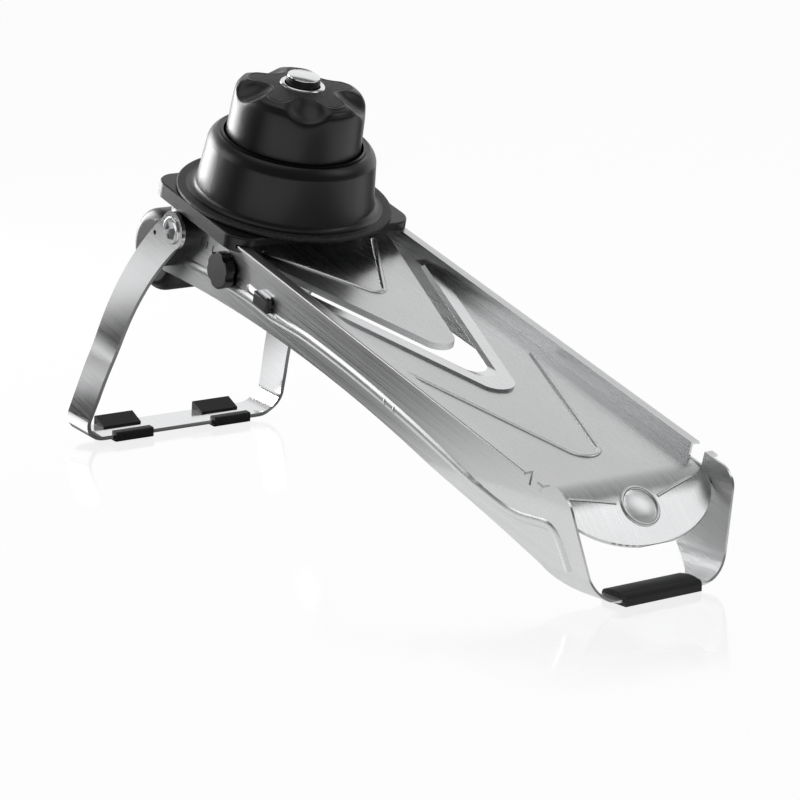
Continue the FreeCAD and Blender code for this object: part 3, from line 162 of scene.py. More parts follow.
def brushed_group():
    group, source, result = open_group("brushed_lines", {"Length": 6.0, "Fineness": 900.0}, ["Lines", "Clouds"])
    place = add_node(group, "ShaderNodeTexCoord").outputs["Object"]
    on_sheet = add_node(group, "ShaderNodeUVMap", {"uv_map": GRAIN_MAP}).outputs[0]
    fineness, length = source.outputs["Fineness"], source.outputs["Length"]
    stretch = add_node(group, "ShaderNodeCombineXYZ", X=fineness, Y=length).outputs[0]
    drawn = add_node(group, "ShaderNodeVectorMath", {"operation": "MULTIPLY"}, n0=on_sheet, n1=stretch).outputs[0]
    lines = add_node(group, "ShaderNodeTexNoise", Vector=drawn, Scale=1.0, Detail=2.0, Roughness=0.5)
    clouds = add_node(group, "ShaderNodeTexNoise", Vector=place, Scale=CLOUDS_PER_METRE, Detail=3.0)
    group.links.new(lines.outputs[0], result.inputs["Lines"])
    group.links.new(clouds.outputs[0], result.inputs["Clouds"])
    return group


def moulded_group():
    group, source, result = open_group("moulded_grain", {"Pitch": 2600.0}, ["Grain", "Smudge"])
    place = add_node(group, "ShaderNodeTexCoord").outputs["Object"]
    grain = add_node(group, "ShaderNodeTexNoise", Vector=place, Scale=source.outputs["Pitch"], Detail=2.0)
    smudge = add_node(
        group, "ShaderNodeTexNoise", Vector=place, Scale=SMUDGES_PER_METRE, Detail=4.0, Roughness=0.6
    )
    group.links.new(grain.outputs[0], result.inputs["Grain"])
    group.links.new(smudge.outputs[0], result.inputs["Smudge"])
    return group


def pebble_group():
    group, source, result = open_group("pebble_dots", {"Pitch": 1100.0}, ["Dots"])
    place = add_node(group, "ShaderNodeTexCoord").outputs["Object"]
    cells = add_node(
        group, "ShaderNodeTexVoronoi", Vector=place, Scale=source.outputs["Pitch"], Randomness=DOT_DISORDER
    )
    dots = map_range(group, cells.outputs["Distance"], DOT_SLOPE, (1.0, 0.0))
    group.links.new(dots, result.inputs["Dots"])
    return group


BRUSHED = brushed_group()
MOULDED = moulded_group()
PEBBLE = pebble_group()
print("shared effects:", [g.name for g in (BRUSHED, MOULDED, PEBBLE)])

# %% [markdown]
# ## Finishes
# The real slicer has brushed sheet, a brighter leg, a ground blade, satin black mouldings, rubber feet and
# pebbled grips. Pictures of such surfaces could be wrapped on, but they show seams and blur up close, so
# each finish is one Principled shader fed by the effects above. Numbers that are the same all over sit on
# its own sockets, and only what varies over the surface comes through nodes.

# %% Finish helpers
PATTERN_SPAN = (0.25, 0.75)
TONE_STOPS = (0.3, 0.7)
GRAIN_DEPTH = 0.0002
PEBBLE_DEPTH, PEBBLE_STRENGTH = 0.00025, 0.5
CLOUD_SHARE = 0.35


def use_group(tree, group, **values):
    node = tree.nodes.new("ShaderNodeGroup")
    node.node_tree = group
    for name, value in values.items():
        node.inputs[name].default_value = value
    return node


def spread(tree, pattern, levels):
    """Maps a 0 to 1 pattern to a pair of levels."""
    return map_range(tree, pattern, PATTERN_SPAN, levels)


def two_tones(tree, pattern, dark, light):
    """Colour that goes from dark to light with a pattern."""
    ramp = add_node(tree, "ShaderNodeValToRGB", n0=pattern)
    for stop, position, tone in zip(ramp.color_ramp.elements, TONE_STOPS, (dark, light)):
        stop.position = position
        stop.color = (*tone, 1)
    return ramp.outputs[0]


def finish_surface(tree, colour, roughness, height, strength, distance, **constants):
    """Ends a material in a Principled shader with bump; constants go on its own sockets."""
    bump = add_node(tree, "ShaderNodeBump", Strength=strength, Distance=distance, Height=height)
    shader = add_node(tree, "ShaderNodeBsdfPrincipled", Normal=bump.outputs[0])
    tree.links.new(colour, shader.inputs["Base Color"])
    tree.links.new(roughness, shader.inputs["Roughness"])
    for name, value in constants.items():
        shader.inputs[name.replace("_", " ")].default_value = value
    end = add_node(tree, "ShaderNodeOutputMaterial")
    tree.links.new(shader.outputs[0], end.inputs["Surface"])
    return shader


print("finish helpers ready")

# %% Finishes


def brushed_steel(name, dark, light, rough, length, fineness, strength):
    material, tree = open_material(name)
    lines, clouds = use_group(tree, BRUSHED, Length=length, Fineness=fineness).outputs
    colour = two_tones(tree, lines, dark, light)
    roughness = spread(tree, calc(tree, "MULTIPLY_ADD", clouds, CLOUD_SHARE, lines), rough)
    shader = finish_surface(tree, colour, roughness, lines, strength, GRAIN_DEPTH, Metallic=1.0, Anisotropic=0.6)
    across = add_node(tree, "ShaderNodeTangent", {"direction_type": "UV_MAP", "uv_map": GRAIN_MAP})
    tree.links.new(across.outputs[0], shader.inputs["Tangent"])
    return material


def moulding(name, dark, light, rough, pitch, strength):
    material, tree = open_material(name)
    grain, smudge = use_group(tree, MOULDED, Pitch=pitch).outputs
    colour, roughness = two_tones(tree, smudge, dark, light), spread(tree, smudge, rough)
    finish_surface(tree, colour, roughness, grain, strength, GRAIN_DEPTH, Specular_IOR_Level=0.5)
    return material


def soft_grip(name, dark, light, rough, pitch):
    material, tree = open_material(name)
    dots = use_group(tree, PEBBLE, Pitch=pitch).outputs[0]
    colour, roughness = two_tones(tree, dots, dark, light), spread(tree, dots, rough)
    finish_surface(tree, colour, roughness, dots, PEBBLE_STRENGTH, PEBBLE_DEPTH)
    return material


FINISHES = {
    "sheet_steel": brushed_steel(
        "sheet_steel", (0.62, 0.625, 0.63), (0.72, 0.725, 0.73), (0.2, 0.32),
        length=3.0, fineness=1700.0, strength=0.02,
    ),
    "polished_steel": brushed_steel(
        "polished_steel", (0.72, 0.725, 0.735), (0.78, 0.785, 0.79), (0.07, 0.14),
        length=12.0, fineness=500.0, strength=0.03,
    ),
    "blade_steel": brushed_steel(
        "blade_steel", (0.66, 0.665, 0.675), (0.76, 0.765, 0.77), (0.12, 0.22),
        length=40.0, fineness=700.0, strength=0.06,
    ),
    "plain_steel": brushed_steel(
        "plain_steel", (0.36, 0.36, 0.365), (0.46, 0.46, 0.465), (0.3, 0.42),
        length=40.0, fineness=400.0, strength=0.12,
    ),
    "satin_black": moulding(
        "satin_black", (0.005, 0.005, 0.0055), (0.008, 0.008, 0.0085), (0.3, 0.4), pitch=2600.0, strength=0.06
    ),
    "foot_rubber": moulding(
        "foot_rubber", (0.012, 0.012, 0.013), (0.02, 0.02, 0.021), (0.55, 0.72), pitch=1400.0, strength=0.2
    ),
    "pebbled_grip": soft_grip(
        "pebbled_grip", (0.022, 0.022, 0.023), (0.07, 0.07, 0.073), (0.5, 0.7), pitch=1100.0
    ),
}
print("finishes:", sorted(FINISHES))

# %% [markdown]
# ## Smooth skins
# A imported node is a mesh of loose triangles, and each would catch the light as its own little mirror. A
# copy that is merged, with flat areas joined into single faces, soft shading over its bends and hard edges
# where they are hard, reflects like the real sheet or moulding. It stands in for the node.

# %% Skin helpers
BODY_OF = {node: body for body, members in frame["record"]["behaviour"]["bodies"].items() for node in members}
SHARP_ANGLE = math.radians(32)
FLAT_ANGLE = math.radians(0.3)
FLAT_WEIGHT = 90
SKIN_MERGE, SHELL_MERGE = 2e-6, 1e-6
RAIL_SLOPE = math.radians(16.6)
DOWN_RAILS = Vector((math.cos(RAIL_SLOPE), 0, -math.sin(RAIL_SLOPE)))
SIDEWAYS = Vector((0, 1, 0))
TOO_STEEP = 0.3


def lay_grain(mesh):
    """Writes a map whose first direction runs across the belt lines, which follow the rails."""
    layer = mesh.uv_layers.new(name=GRAIN_MAP)
    for face in mesh.polygons:
        across = face.normal.cross(DOWN_RAILS)
        if across.length < TOO_STEEP:
            across = face.normal.cross(SIDEWAYS)
        across.normalize()
        along = across.cross(face.normal)
        for corner in face.loop_indices:
            place = mesh.vertices[mesh.loops[corner].vertex_index].co
            layer.data[corner].uv = (place.dot(across), place.dot(along))


def plain_mesh(piece):
    """Applies the piece's modifiers and leaves a plain mesh."""
    seen = piece.evaluated_get(bpy.context.evaluated_depsgraph_get())
    mesh = bpy.data.meshes.new_from_object(seen)
    piece.modifiers.clear()
    piece.data = mesh


def even_shading(piece):
    """Soft shading in which wide flat faces stay flat and only the small bends between them turn."""
    piece.data.shade_smooth()
    piece.data.set_sharp_from_angle(angle=SHARP_ANGLE)
    weigh = piece.modifiers.new("even_shading", "WEIGHTED_NORMAL")
    weigh.mode = "FACE_AREA"
    weigh.weight = FLAT_WEIGHT
    weigh.keep_sharp = True
    plain_mesh(piece)


def close_shell(mesh):
    """Merges doubles and turns the faces outward."""
    form = bmesh.new()
    form.from_mesh(mesh)
    bmesh.ops.remove_doubles(form, verts=form.verts, dist=SHELL_MERGE)
    bmesh.ops.recalc_face_normals(form, faces=form.faces)
    form.to_mesh(mesh)
    form.free()


def dress(piece, finish, node):
    """Gives a finished piece its material and its body."""
    piece.data.materials.clear()
    piece.data.materials.append(FINISHES[finish])
    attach(piece, BODY_OF[node])


def new_piece(name, mesh):
    piece = bpy.data.objects.new(name, mesh)
    scene.collection.objects.link(piece)
    return piece


# %% Smooth skins
SKINS = {
    "sheet_steel": ["side_frame", "deck_plate", "infeed_plate", "blade_rivets", "guide_pins"],
    "blade_steel": ["v_blade"],
    "polished_steel": ["leg_band", "pivot_screws", "latch_tab", "trim_ring", "holder_spikes"],
    "plain_steel": ["cam_shaft", "shaft_clip", "runner_screws", "holder_screws", "button_spring"],
    "satin_black": [
        "rear_handle", "pivot_spacers", "shaft_bushes", "thickness_knob", "lift_cams", "latch_slider",
        "carriage_plate", "carriage_runners", "pusher_collar", "collar_retainer", "guide_ring",
        "plunger_stem", "holder_disc", "push_button",
    ],
    "foot_rubber": ["front_foot_pad", "leg_pad_left", "leg_pad_right"],
    "pebbled_grip": ["grip_ring"],
}


def smooth_skin(node, finish):
    """Merged, smooth-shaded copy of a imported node, in its place."""
    mesh = nodes[node].data.copy()
    mesh.name = node + "_skin"
    form = bmesh.new()
    form.from_mesh(mesh)
    bmesh.ops.remove_doubles(form, verts=form.verts, dist=SKIN_MERGE)
    bmesh.ops.dissolve_degenerate(form, edges=form.edges, dist=SHELL_MERGE)
    bmesh.ops.dissolve_limit(form, angle_limit=FLAT_ANGLE, verts=form.verts, edges=form.edges)
    form.to_mesh(mesh)
    form.free()
    skin = new_piece(node + "_skin", mesh)
    even_shading(skin)
    lay_grain(skin.data)
    dress(skin, finish, node)
    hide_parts(node)
    return skin


skins = {node: smooth_skin(node, finish) for finish, members in SKINS.items() for node in members}
print("skins:", len(skins), "faces:", sum(len(s.data.polygons) for s in skins.values()))

# %% [markdown]
# ## Finger-grip knob
# The knob of the pusher is one moulding: a round body with five soft scoops for the fingers and a thin rim
# that frames its grip pad. Cutting balls out of it with booleans would leave sharp edges. Here a lathe
# profile gives the body, and every point inside one of five large balls, squeezed sideways, is pushed out to
# the ball's surface with a soft change-over, so that the edges come out round.

# %% Scoops of the knob
SCOOPS = 5
SCOOP_FACING = math.radians(-27)
SCOOP_RADIUS = 0.032
SCOOP_CENTRE = Vector((0.0396, 0.0, 0.08705))
SCOOP_SQUEEZE = 1.6
PAD_REACH = 0.0282
PAD_CORNER = 0.006
RIM_WIDTH = 0.0011


def soft_max(a, b, soft):
    """The larger of two values, with a round change-over of the given width."""
    overlap = max(soft - abs(a - b), 0.0) / soft
    return max(a, b) + overlap * overlap * soft / 4


def scoop_gap(point):
    """Nearest ball's centre from a point: its distance, squeezed sideways, and the direction away from it."""
    step = 2 * math.pi / SCOOPS
    turn_to = SCOOP_FACING + step * round((math.atan2(point.y, point.x) - SCOOP_FACING) / step)
    face_on = Matrix.Rotation(turn_to, 3, "Z")
    off = face_on.transposed() @ point - SCOOP_CENTRE
    off.y *= SCOOP_SQUEEZE
    distance = off.length
    off.y *= SCOOP_SQUEEZE
    return distance, (face_on @ off).normalized()


def pad_inside(point):
    """How far inside the grip pad's outline a point lies; its corners are rounded."""
    distance = scoop_gap(point)[0] - SCOOP_RADIUS - RIM_WIDTH
    edge = PAD_REACH - math.hypot(point.x, point.y)
    return -soft_max(-distance, -edge, PAD_CORNER)


print("scoops:", SCOOPS, "of radius", SCOOP_RADIUS)

# %% Lathe
PUSHER_PLACE = Vector((-0.30006, 0.0, 0.14484))
PUSHER_TURN = Matrix.Rotation(RAIL_SLOPE, 3, "Y")
ROUND_STEPS = 480


def on_pusher(radius, angle, height):
    return Vector((radius * math.cos(angle), radius * math.sin(angle), height))


def at_pusher(point):
    """Puts a point of the pusher's own frame into the model."""
    return PUSHER_TURN @ point + PUSHER_PLACE


def round_angles():
    return [2 * math.pi * step / ROUND_STEPS for step in range(ROUND_STEPS)]


def through_points(points, steps):
    """Points on a smooth curve through the given ones, with so many steps on each stretch."""
    curve = []
    for k in range(len(points) - 1):
        before, first = points[max(k - 1, 0)], points[k]
        last, after = points[k + 1], points[min(k + 2, len(points) - 1)]
        for n in range(steps[k]):
            t = n / steps[k]
            a = 2 * first
            b = last - before
            c = 2 * before - 5 * first + 4 * last - after
            d = -before + 3 * first - 3 * last + after
            curve.append((a + b * t + c * t * t + d * t ** 3) / 2)
    return curve + [points[-1]]


def ring_faces(count):
    """Faces of a closed profile of so many points that goes once round."""
    faces = []
    for step in range(ROUND_STEPS):
        here, there = step * count, (step + 1) % ROUND_STEPS * count
        for spot in range(count):
            after = (spot + 1) % count
            faces.append((here + spot, there + spot, there + after, here + after))
    return faces


def lathe_mesh(name, profile, shape_point):
    """Turns a closed profile about the pusher's axis; shape_point moves each point before it is placed."""
    mesh = bpy.data.meshes.new(name)
    verts = []
    for angle in round_angles():
        for spot, (radius, height) in enumerate(profile):
            verts.append(at_pusher(shape_point(on_pusher(radius, angle, height), spot)))
    mesh.from_pydata(verts, [], ring_faces(len(profile)))
    mesh.update()
    return mesh


print("lathe steps:", ROUND_STEPS)

# %% Finger-grip knob
KNOB_WALL = 0.003
KNOB_FOOT = 0.0215
KNOB_BORE = 0.0093
KNOB_SHARP = math.radians(50)
RIM_HEIGHT = 0.00035
RIM_ABOVE = 0.055
CROWN_SOFT, SIDE_SOFT = 0.0010, 0.0040
SOFT_FROM, SOFT_OVER = 0.026, 0.007
OUTER_POINTS = [
    Vector(p) for p in (
        (0.0360, KNOB_FOOT), (0.0352, 0.0380), (0.0344, 0.0540), (0.0331, 0.0591), (0.0290, 0.0616),
        (0.0145, 0.06325), (KNOB_BORE, 0.0636),
    )
]
OUTER = through_points(OUTER_POINTS, (10, 10, 14, 16, 56, 12))
INNER = [Vector((p.x - KNOB_WALL, p.y - KNOB_WALL)) for p in OUTER if p.x > 0.0145 and p.y > 0.0252][::6]
INNER = [Vector((KNOB_BORE, 0.0603))] + INNER[::-1] + [Vector((0.0327, KNOB_FOOT))]
KNOB_PROFILE = OUTER + INNER


def knob_point(point, spot):
    """Pushes a point out of the scoops and lifts the rim round the pad."""
    outside = spot < len(OUTER)
    distance, away = scoop_gap(point)
    wide = SCOOP_RADIUS if outside else SCOOP_RADIUS + KNOB_WALL
    to_side = min(max((math.hypot(point.x, point.y) - SOFT_FROM) / SOFT_OVER, 0.0), 1.0)
    soft = CROWN_SOFT + SIDE_SOFT * to_side
    moved = point + away * soft_max(wide - distance, 0.0, soft)
    if outside and point.z > RIM_ABOVE:
        off_rim = pad_inside(point) / RIM_WIDTH + 0.5
        if abs(off_rim) < 1:
            moved.z += RIM_HEIGHT * math.cos(off_rim * math.pi / 2) ** 2
    return moved


knob = new_piece("pusher_knob_grip", lathe_mesh("pusher_knob_grip", KNOB_PROFILE, knob_point))
knob.data.shade_smooth()
knob.data.set_sharp_from_angle(angle=KNOB_SHARP)
dress(knob, "satin_black", "pusher_knob")
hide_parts("pusher_knob")
print("knob faces:", len(knob.data.polygons))

# %% [markdown]
# ## Grip pad
# The pad is a soft star let into the knob's top. It could be cut from a disc by hand, but its outline
# follows the scoops at a set distance, so it is found on each ray from the axis by halving, and the skin is
# laid from the trim ring out to that line. A change to the scoops then moves the pad with them.

# %% Grip pad
PAD_INNER = 0.01185
PAD_RINGS = 30
PAD_RISE = 0.0002
PAD_EDGE, PAD_ROLL = 0.0007, 0.0005
PAD_DEPTH = 0.0009
HALVINGS = 24


def crown_height(radius):
    """Height of the knob's crown at a radius."""
    for outer, inner in zip(OUTER, OUTER[1:]):
        if inner.x <= radius <= outer.x:
            return outer.y + (inner.y - outer.y) * (outer.x - radius) / max(outer.x - inner.x, 1e-9)
    return OUTER[-1].y


def pad_edge(angle):
    """Radius of the pad's outline on one ray."""
    low, high = PAD_INNER, PAD_REACH
    for _ in range(HALVINGS):
        radius = (low + high) / 2
        if pad_inside(on_pusher(radius, angle, crown_height(radius))) > 0:
            low = radius
        else:
            high = radius
    return low


def pad_mesh(name):
    """The pad's skin: rings from the trim ring to the outline, a rolled edge and a flat underside."""
    mesh = bpy.data.meshes.new(name)
    verts = []
    for angle in round_angles():
        edge = pad_edge(angle)
        spots = []
        for ring in range(PAD_RINGS):
            radius = PAD_INNER + (edge - PAD_INNER) * ring / (PAD_RINGS - 1)
            near = max(1 - (edge - radius) / PAD_EDGE, 0.0)
            spots.append((radius, crown_height(radius) + PAD_RISE - PAD_ROLL * near * near))
        spots += [(radius, crown_height(radius) - PAD_DEPTH) for radius in (edge, PAD_INNER)]
        verts += [at_pusher(on_pusher(radius, angle, height)) for radius, height in spots]
    faces = [(a, d, c, b) for a, b, c, d in ring_faces(PAD_RINGS + 2)]
    mesh.from_pydata(verts, [], faces)
    mesh.update()
    return mesh


pad = new_piece("grip_pad_star", pad_mesh("grip_pad_star"))
pad.data.shade_smooth()
pad.data.set_sharp_from_angle(angle=KNOB_SHARP)
dress(pad, "pebbled_grip", "grip_pad")
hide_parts("grip_pad")
print("pad faces:", len(pad.data.polygons))

# %% [markdown]
# ## Button cap
# The push button is black with a thin polished disc on top. A second colour on the button would do from
# afar, but a disc of its own has a rounded rim that catches the light, and the lathe is already here.

# %% Button cap
CAP_RADIUS = 0.00845
CAP_TOP = 0.06875
CAP_THICKNESS = 0.0007
CAP_EDGE = 0.0003
CAP_SHOULDER = CAP_EDGE * 0.3
CAP_PROFILE = [
    Vector(p) for p in (
        (0.0, CAP_TOP - CAP_THICKNESS), (CAP_RADIUS, CAP_TOP - CAP_THICKNESS), (CAP_RADIUS, CAP_TOP - CAP_EDGE),
        (CAP_RADIUS - CAP_SHOULDER, CAP_TOP - CAP_SHOULDER), (CAP_RADIUS - CAP_EDGE, CAP_TOP), (0.0, CAP_TOP),
    )
]
cap = new_piece("button_cap", lathe_mesh("button_cap", CAP_PROFILE, lambda point, spot: point))
close_shell(cap.data)
even_shading(cap)
lay_grain(cap.data)
dress(cap, "polished_steel", "push_button")
print("cap faces:", len(cap.data.polygons))

# %% [markdown]
# ## Pressed ridges
# Beads and creases are sheet that a press has pushed out to stiffen it. Moving the sheet's own points would
# need a very fine mesh, so each ridge is a thin shell on the sheet. Its line is laid on the skin by casting
# points onto it, and a small geometry-nodes tree sweeps a bow-shaped section along that line.

# %% Line on a skin
WALL_FACE = 0.048
CAST_FROM = 0.03


def seat_line(node, points, inward):
    """Casts points onto a skin along a direction; gives the line as a mesh with its outward normals."""
    skin = skins[node].data
    tree = BVHTree.FromPolygons([v.co for v in skin.vertices], [f.vertices for f in skin.polygons])
    spots, outs = [], []
    for point in points:
        spot, out, _, _ = tree.ray_cast(point - inward * CAST_FROM, inward)
        if spot is None:
            continue
        if abs(spot.y) > WALL_FACE:
            spot.y, out = math.copysign(WALL_FACE, spot.y), -inward
        spots.append(spot)
        outs.append(out)
    mesh = bpy.data.meshes.new("line")
    mesh.from_pydata(spots, [(k, k + 1) for k in range(len(spots) - 1)], [])
    attribute = mesh.attributes.new("outward", "FLOAT_VECTOR", "POINT")
    for k, out in enumerate(outs):
        attribute.data[k].vector = out
    return mesh


print("lines are cast from", CAST_FROM, "above the sheet")

# %% Geometry tree helpers


def open_geometry(name, inputs):
    """Empty geometry tree with float inputs {name: default} and a finish."""
    tree = bpy.data.node_groups.new(name, "GeometryNodeTree")
    tree.interface.new_socket("Geometry", in_out="INPUT", socket_type="NodeSocketGeometry")
    tree.interface.new_socket("Geometry", in_out="OUTPUT", socket_type="NodeSocketGeometry")
    for label, default in inputs.items():
        socket = tree.interface.new_socket(label, in_out="INPUT", socket_type="NodeSocketFloat")
        socket.default_value = default
    tree.interface.new_socket("Finish", in_out="INPUT", socket_type="NodeSocketMaterial")
    return tree, tree.nodes.new("NodeGroupInput").outputs


def close_geometry(tree, shape, finish):
    """Ends a tree in real geometry with its material, because the export drops instances."""
    real = add_node(tree, "GeometryNodeRealizeInstances", Geometry=shape).outputs[0]
    dressed = add_node(tree, "GeometryNodeSetMaterial", Geometry=real, Material=finish).outputs[0]
    tree.links.new(dressed, tree.nodes.new("NodeGroupOutput").inputs[0])
    return tree


def grow(piece, tree, finish, node, values):
    """Runs a tree on a piece, with its inputs set by identifier, and finishes the shape that comes out."""
    values = {**values, "Finish": FINISHES[finish]}
    modifier = piece.modifiers.new(tree.name, "NODES")
    modifier.node_group = tree
    for item in tree.interface.items_tree:
        if item.name in values:
            modifier[item.identifier] = values[item.name]
    plain_mesh(piece)
    close_shell(piece.data)
    piece.data.shade_smooth()
    piece.data.set_sharp_from_angle(angle=SHARP_ANGLE)
    lay_grain(piece.data)
    dress(piece, finish, node)
    print(piece.name, "faces:", len(piece.data.polygons))


print("geometry helpers ready")

# %% Ridge tree
BOW_POINTS = 17
ROOT_DEPTH = 0.00015


def ridge_tree():
    """Sweeps the upper cap of a circle, sunk into the sheet, along a line that knows its outward side."""
    tree, given = open_geometry("pressed_ridge", {"Bow": 0.0019, "Half Angle": 1.1, "Sunk": 0.001})
    outward = add_node(tree, "GeometryNodeInputNamedAttribute", {"data_type": "FLOAT_VECTOR"}, Name="outward")
    line = add_node(tree, "GeometryNodeMeshToCurve", Mesh=given["Geometry"]).outputs[0]
    stood = add_node(
        tree, "GeometryNodeSetCurveNormal", {"mode": "FREE"}, Curve=line, Normal=outward.outputs[0]
    ).outputs[0]
    bow = add_node(
        tree, "GeometryNodeCurveArc", {"mode": "RADIUS"}, Resolution=BOW_POINTS, Radius=given["Bow"],
        Start_Angle=calc(tree, "MULTIPLY", given["Half Angle"], -1.0),
        Sweep_Angle=calc(tree, "MULTIPLY", given["Half Angle"], 2.0),
    ).outputs[0]
    ring = add_node(tree, "GeometryNodeSetSplineCyclic", Geometry=bow, Cyclic=True).outputs[0]
    down = calc(tree, "MULTIPLY", given["Sunk"], -1.0)
    shift = add_node(tree, "ShaderNodeCombineXYZ", X=down).outputs[0]
    section = add_node(tree, "GeometryNodeTransform", Geometry=ring, Translation=shift).outputs[0]
    swept = add_node(
        tree, "GeometryNodeCurveToMesh", Curve=stood, Profile_Curve=section, Fill_Caps=True
    ).outputs[0]
    return close_geometry(tree, swept, given["Finish"])


RIDGE = ridge_tree()


def press_ridge(name, node, points, inward, width, height):
    """A ridge of the given width and height along points on a node's sheet."""
    piece = new_piece(name, seat_line(node, points, inward))
    bow = (width ** 2 / 4 + height ** 2) / (2 * height)
    half = math.acos((bow - height - ROOT_DEPTH) / bow)
    grow(piece, RIDGE, "sheet_steel", node, {"Bow": bow, "Half Angle": half, "Sunk": bow - height})


print("ridge tree:", RIDGE.name)

# %% [markdown]
# ## Wall beads
# A long bead stiffens each wall. It starts behind the thickness knob, passes under the latch's slot, follows
# the rails at a lower slope and runs on down the front arm in a soft S. A drawn line of a few places is
# enough: a smooth curve goes through them, and both walls use the same one.

# %% Bead along the walls
BEAD_LINE = [
    Vector(p) / 1000 for p in (
        (-320.9, 113.3), (-285.1, 107.6), (-265.3, 103.8), (-251.8, 100.2), (-240.3, 96.7), (-226.4, 94.3),
        (-206.7, 90.4), (-168.2, 79.5), (-130.2, 67.1), (-101.9, 56.8), (-85.1, 50.3), (-70.0, 44.1),
        (-60.0, 40.2), (-50.0, 37.0), (-40.0, 35.4), (-30.0, 35.5), (-22.0, 35.8), (-17.2, 34.8),
        (-14.0, 31.4), (-12.2, 26.5), (-10.8, 21.0), (-9.8, 15.5),
    )
]
BEAD_WIDTH, BEAD_HEIGHT = 0.0052, 0.00095
BEAD_STEPS = 8
OFF_WALL = 0.06
SIDES = ((-1, "near"), (1, "far"))
bead_points = through_points(BEAD_LINE, [BEAD_STEPS] * (len(BEAD_LINE) - 1))
for side, name in SIDES:
    line = [Vector((p.x, side * OFF_WALL, p.y)) for p in bead_points]
    press_ridge(name + "_wall_bead", "side_frame", line, Vector((0, -side, 0)), BEAD_WIDTH, BEAD_HEIGHT)

# %% [markdown]
# ## Tongue creases
# Two short creases spread from the medallion to the tongue's corners. They are the same kind of ridge, only
# narrower, so the same tree makes them, and the far one is the near one with its side turned over.

# %% Creases on the tongue
CREASE_LINE = [
    Vector(p) for p in ((-0.0172, 0.0368, 0.0466), (-0.0145, 0.0250, 0.0447), (-0.0117, 0.0123, 0.0422))
]
CREASE_WIDTH, CREASE_HEIGHT = 0.0018, 0.0004
CREASE_STEPS = 14
INTO_TONGUE = Vector((-0.65, 0.0, -0.76))
for side, name in SIDES:
    corners = [Vector((p.x, side * p.y, p.z)) for p in CREASE_LINE]
    line = through_points(corners, [CREASE_STEPS] * (len(corners) - 1))
    press_ridge(name + "_tongue_crease", "deck_plate", line, INTO_TONGUE, CREASE_WIDTH, CREASE_HEIGHT)

# %% [markdown]
# ## Ticks and dimples
# Plain ticks by the thickness knob help to read its setting, and two small round marks sit above the wall's
# bead: low domes whose darker steel is painted shade of two pressed dimples. They could be placed one by
# one, but each is one small shape set on a few points, which is what instancing is for.

# %% Small marks
TICK_COUNT = 3
TICK_START = Vector((-0.3045, -WALL_FACE, 0.1262))
TICK_STEP = Vector((0.0052, 0.0, -0.00155))
TICKS = [TICK_START + TICK_STEP * k for k in range(TICK_COUNT)]
DIMPLE_SHADE_SPOTS = [Vector((-0.1408, -0.0486, 0.0706)), Vector((-0.1334, -0.0486, 0.0681))]


def mark_tree(name, round_mark):
    """Sets one small shape, a bar or a low dome, on every point of a mesh."""
    tree, given = open_geometry(name, {"Length": 0.004, "Width": 0.0005, "Height": 0.0003, "Turn": 0.0})
    size = add_node(
        tree, "ShaderNodeCombineXYZ", X=given["Width"], Y=given["Height"], Z=given["Length"]
    ).outputs[0]
    if round_mark:
        ball = add_node(tree, "GeometryNodeMeshUVSphere", Segments=24, Rings=12, Radius=0.5).outputs[0]
        shape = add_node(tree, "GeometryNodeTransform", Geometry=ball, Scale=size).outputs[0]
    else:
        shape = add_node(tree, "GeometryNodeMeshCube", Size=size).outputs[0]
    lean = add_node(tree, "ShaderNodeCombineXYZ", Y=given["Turn"]).outputs[0]
    set_on = add_node(
        tree, "GeometryNodeInstanceOnPoints", Points=given["Geometry"], Instance=shape, Rotation=lean
    ).outputs[0]
    return close_geometry(tree, set_on, given["Finish"])


def place_marks(name, tree, points, finish, values):
    mesh = bpy.data.meshes.new(name)
    mesh.from_pydata(points, [], [])
    grow(new_piece(name, mesh), tree, finish, "side_frame", values)


place_marks(
    "setting_ticks", mark_tree("tick_bars", False), TICKS, "foot_rubber",
    {"Length": 0.0042, "Width": 0.0005, "Height": 0.0003, "Turn": RAIL_SLOPE},
)
# The dimples' domes take the darker plain steel: painted shade of two pressed dimples.
place_marks(
    "wall_dimples", mark_tree("low_domes", True), DIMPLE_SHADE_SPOTS, "plain_steel",
    {"Length": 0.0034, "Width": 0.0024, "Height": 0.0014},
)

# %% [markdown]
# ## Floor
# The floor is white and shows a faint mirror image close to the feet. A bright lamp on a white
# floor would bleach the slicer, so the floor is mostly its own white for the camera, with a part of plain
# white that takes the shadow. In the steel the floor glows with two painted pools of light and a dim
# stretch between them. This painted light gives the walls and the leg their change from dark to bright.

# %% Painted pools of light on the floor
FRONT_POOL = [(-0.42, 0.06), (-0.22, 0.95), (0.15, 0.95), (0.6, 0.04)]
BACK_POOL = [(-0.82, 1.0), (-0.67, 0.06)]
BACK_POOL_SIDE, BACK_POOL_LEVELS = (-0.5, -0.4), (0.1, 1.0)
POOL_START, POOL_LENGTH = -1.5, 2.5


def along_ramp(tree, along, levels):
    """Brightness that follows (place, level) pairs along the slicer."""
    spot = map_range(tree, along, (POOL_START, POOL_START + POOL_LENGTH), (0.0, 1.0))
    ramp = add_node(tree, "ShaderNodeValToRGB", n0=spot)
    ramp.color_ramp.interpolation = "EASE"
    stops = ramp.color_ramp.elements
    for number, (place_x, level) in enumerate(levels):
        at = (place_x - POOL_START) / POOL_LENGTH
        stop = stops[number] if number < 2 else stops.new(at)
        stop.position = at
        stop.color = (level, level, level, 1)
    return ramp.outputs[0]


def painted_pool_level(tree, place):
    """Painted glow of the floor in a mirror: a pool of light before the front foot and one behind on the far
    side.
    """
    along, across, _ = add_node(tree, "ShaderNodeSeparateXYZ", n0=place).outputs
    side = map_range(tree, across, BACK_POOL_SIDE, BACK_POOL_LEVELS)
    back = calc(tree, "MULTIPLY", along_ramp(tree, along, BACK_POOL), side)
    return calc(tree, "MAXIMUM", along_ramp(tree, along, FRONT_POOL), back)


print("pools: front", FRONT_POOL, "back", BACK_POOL)

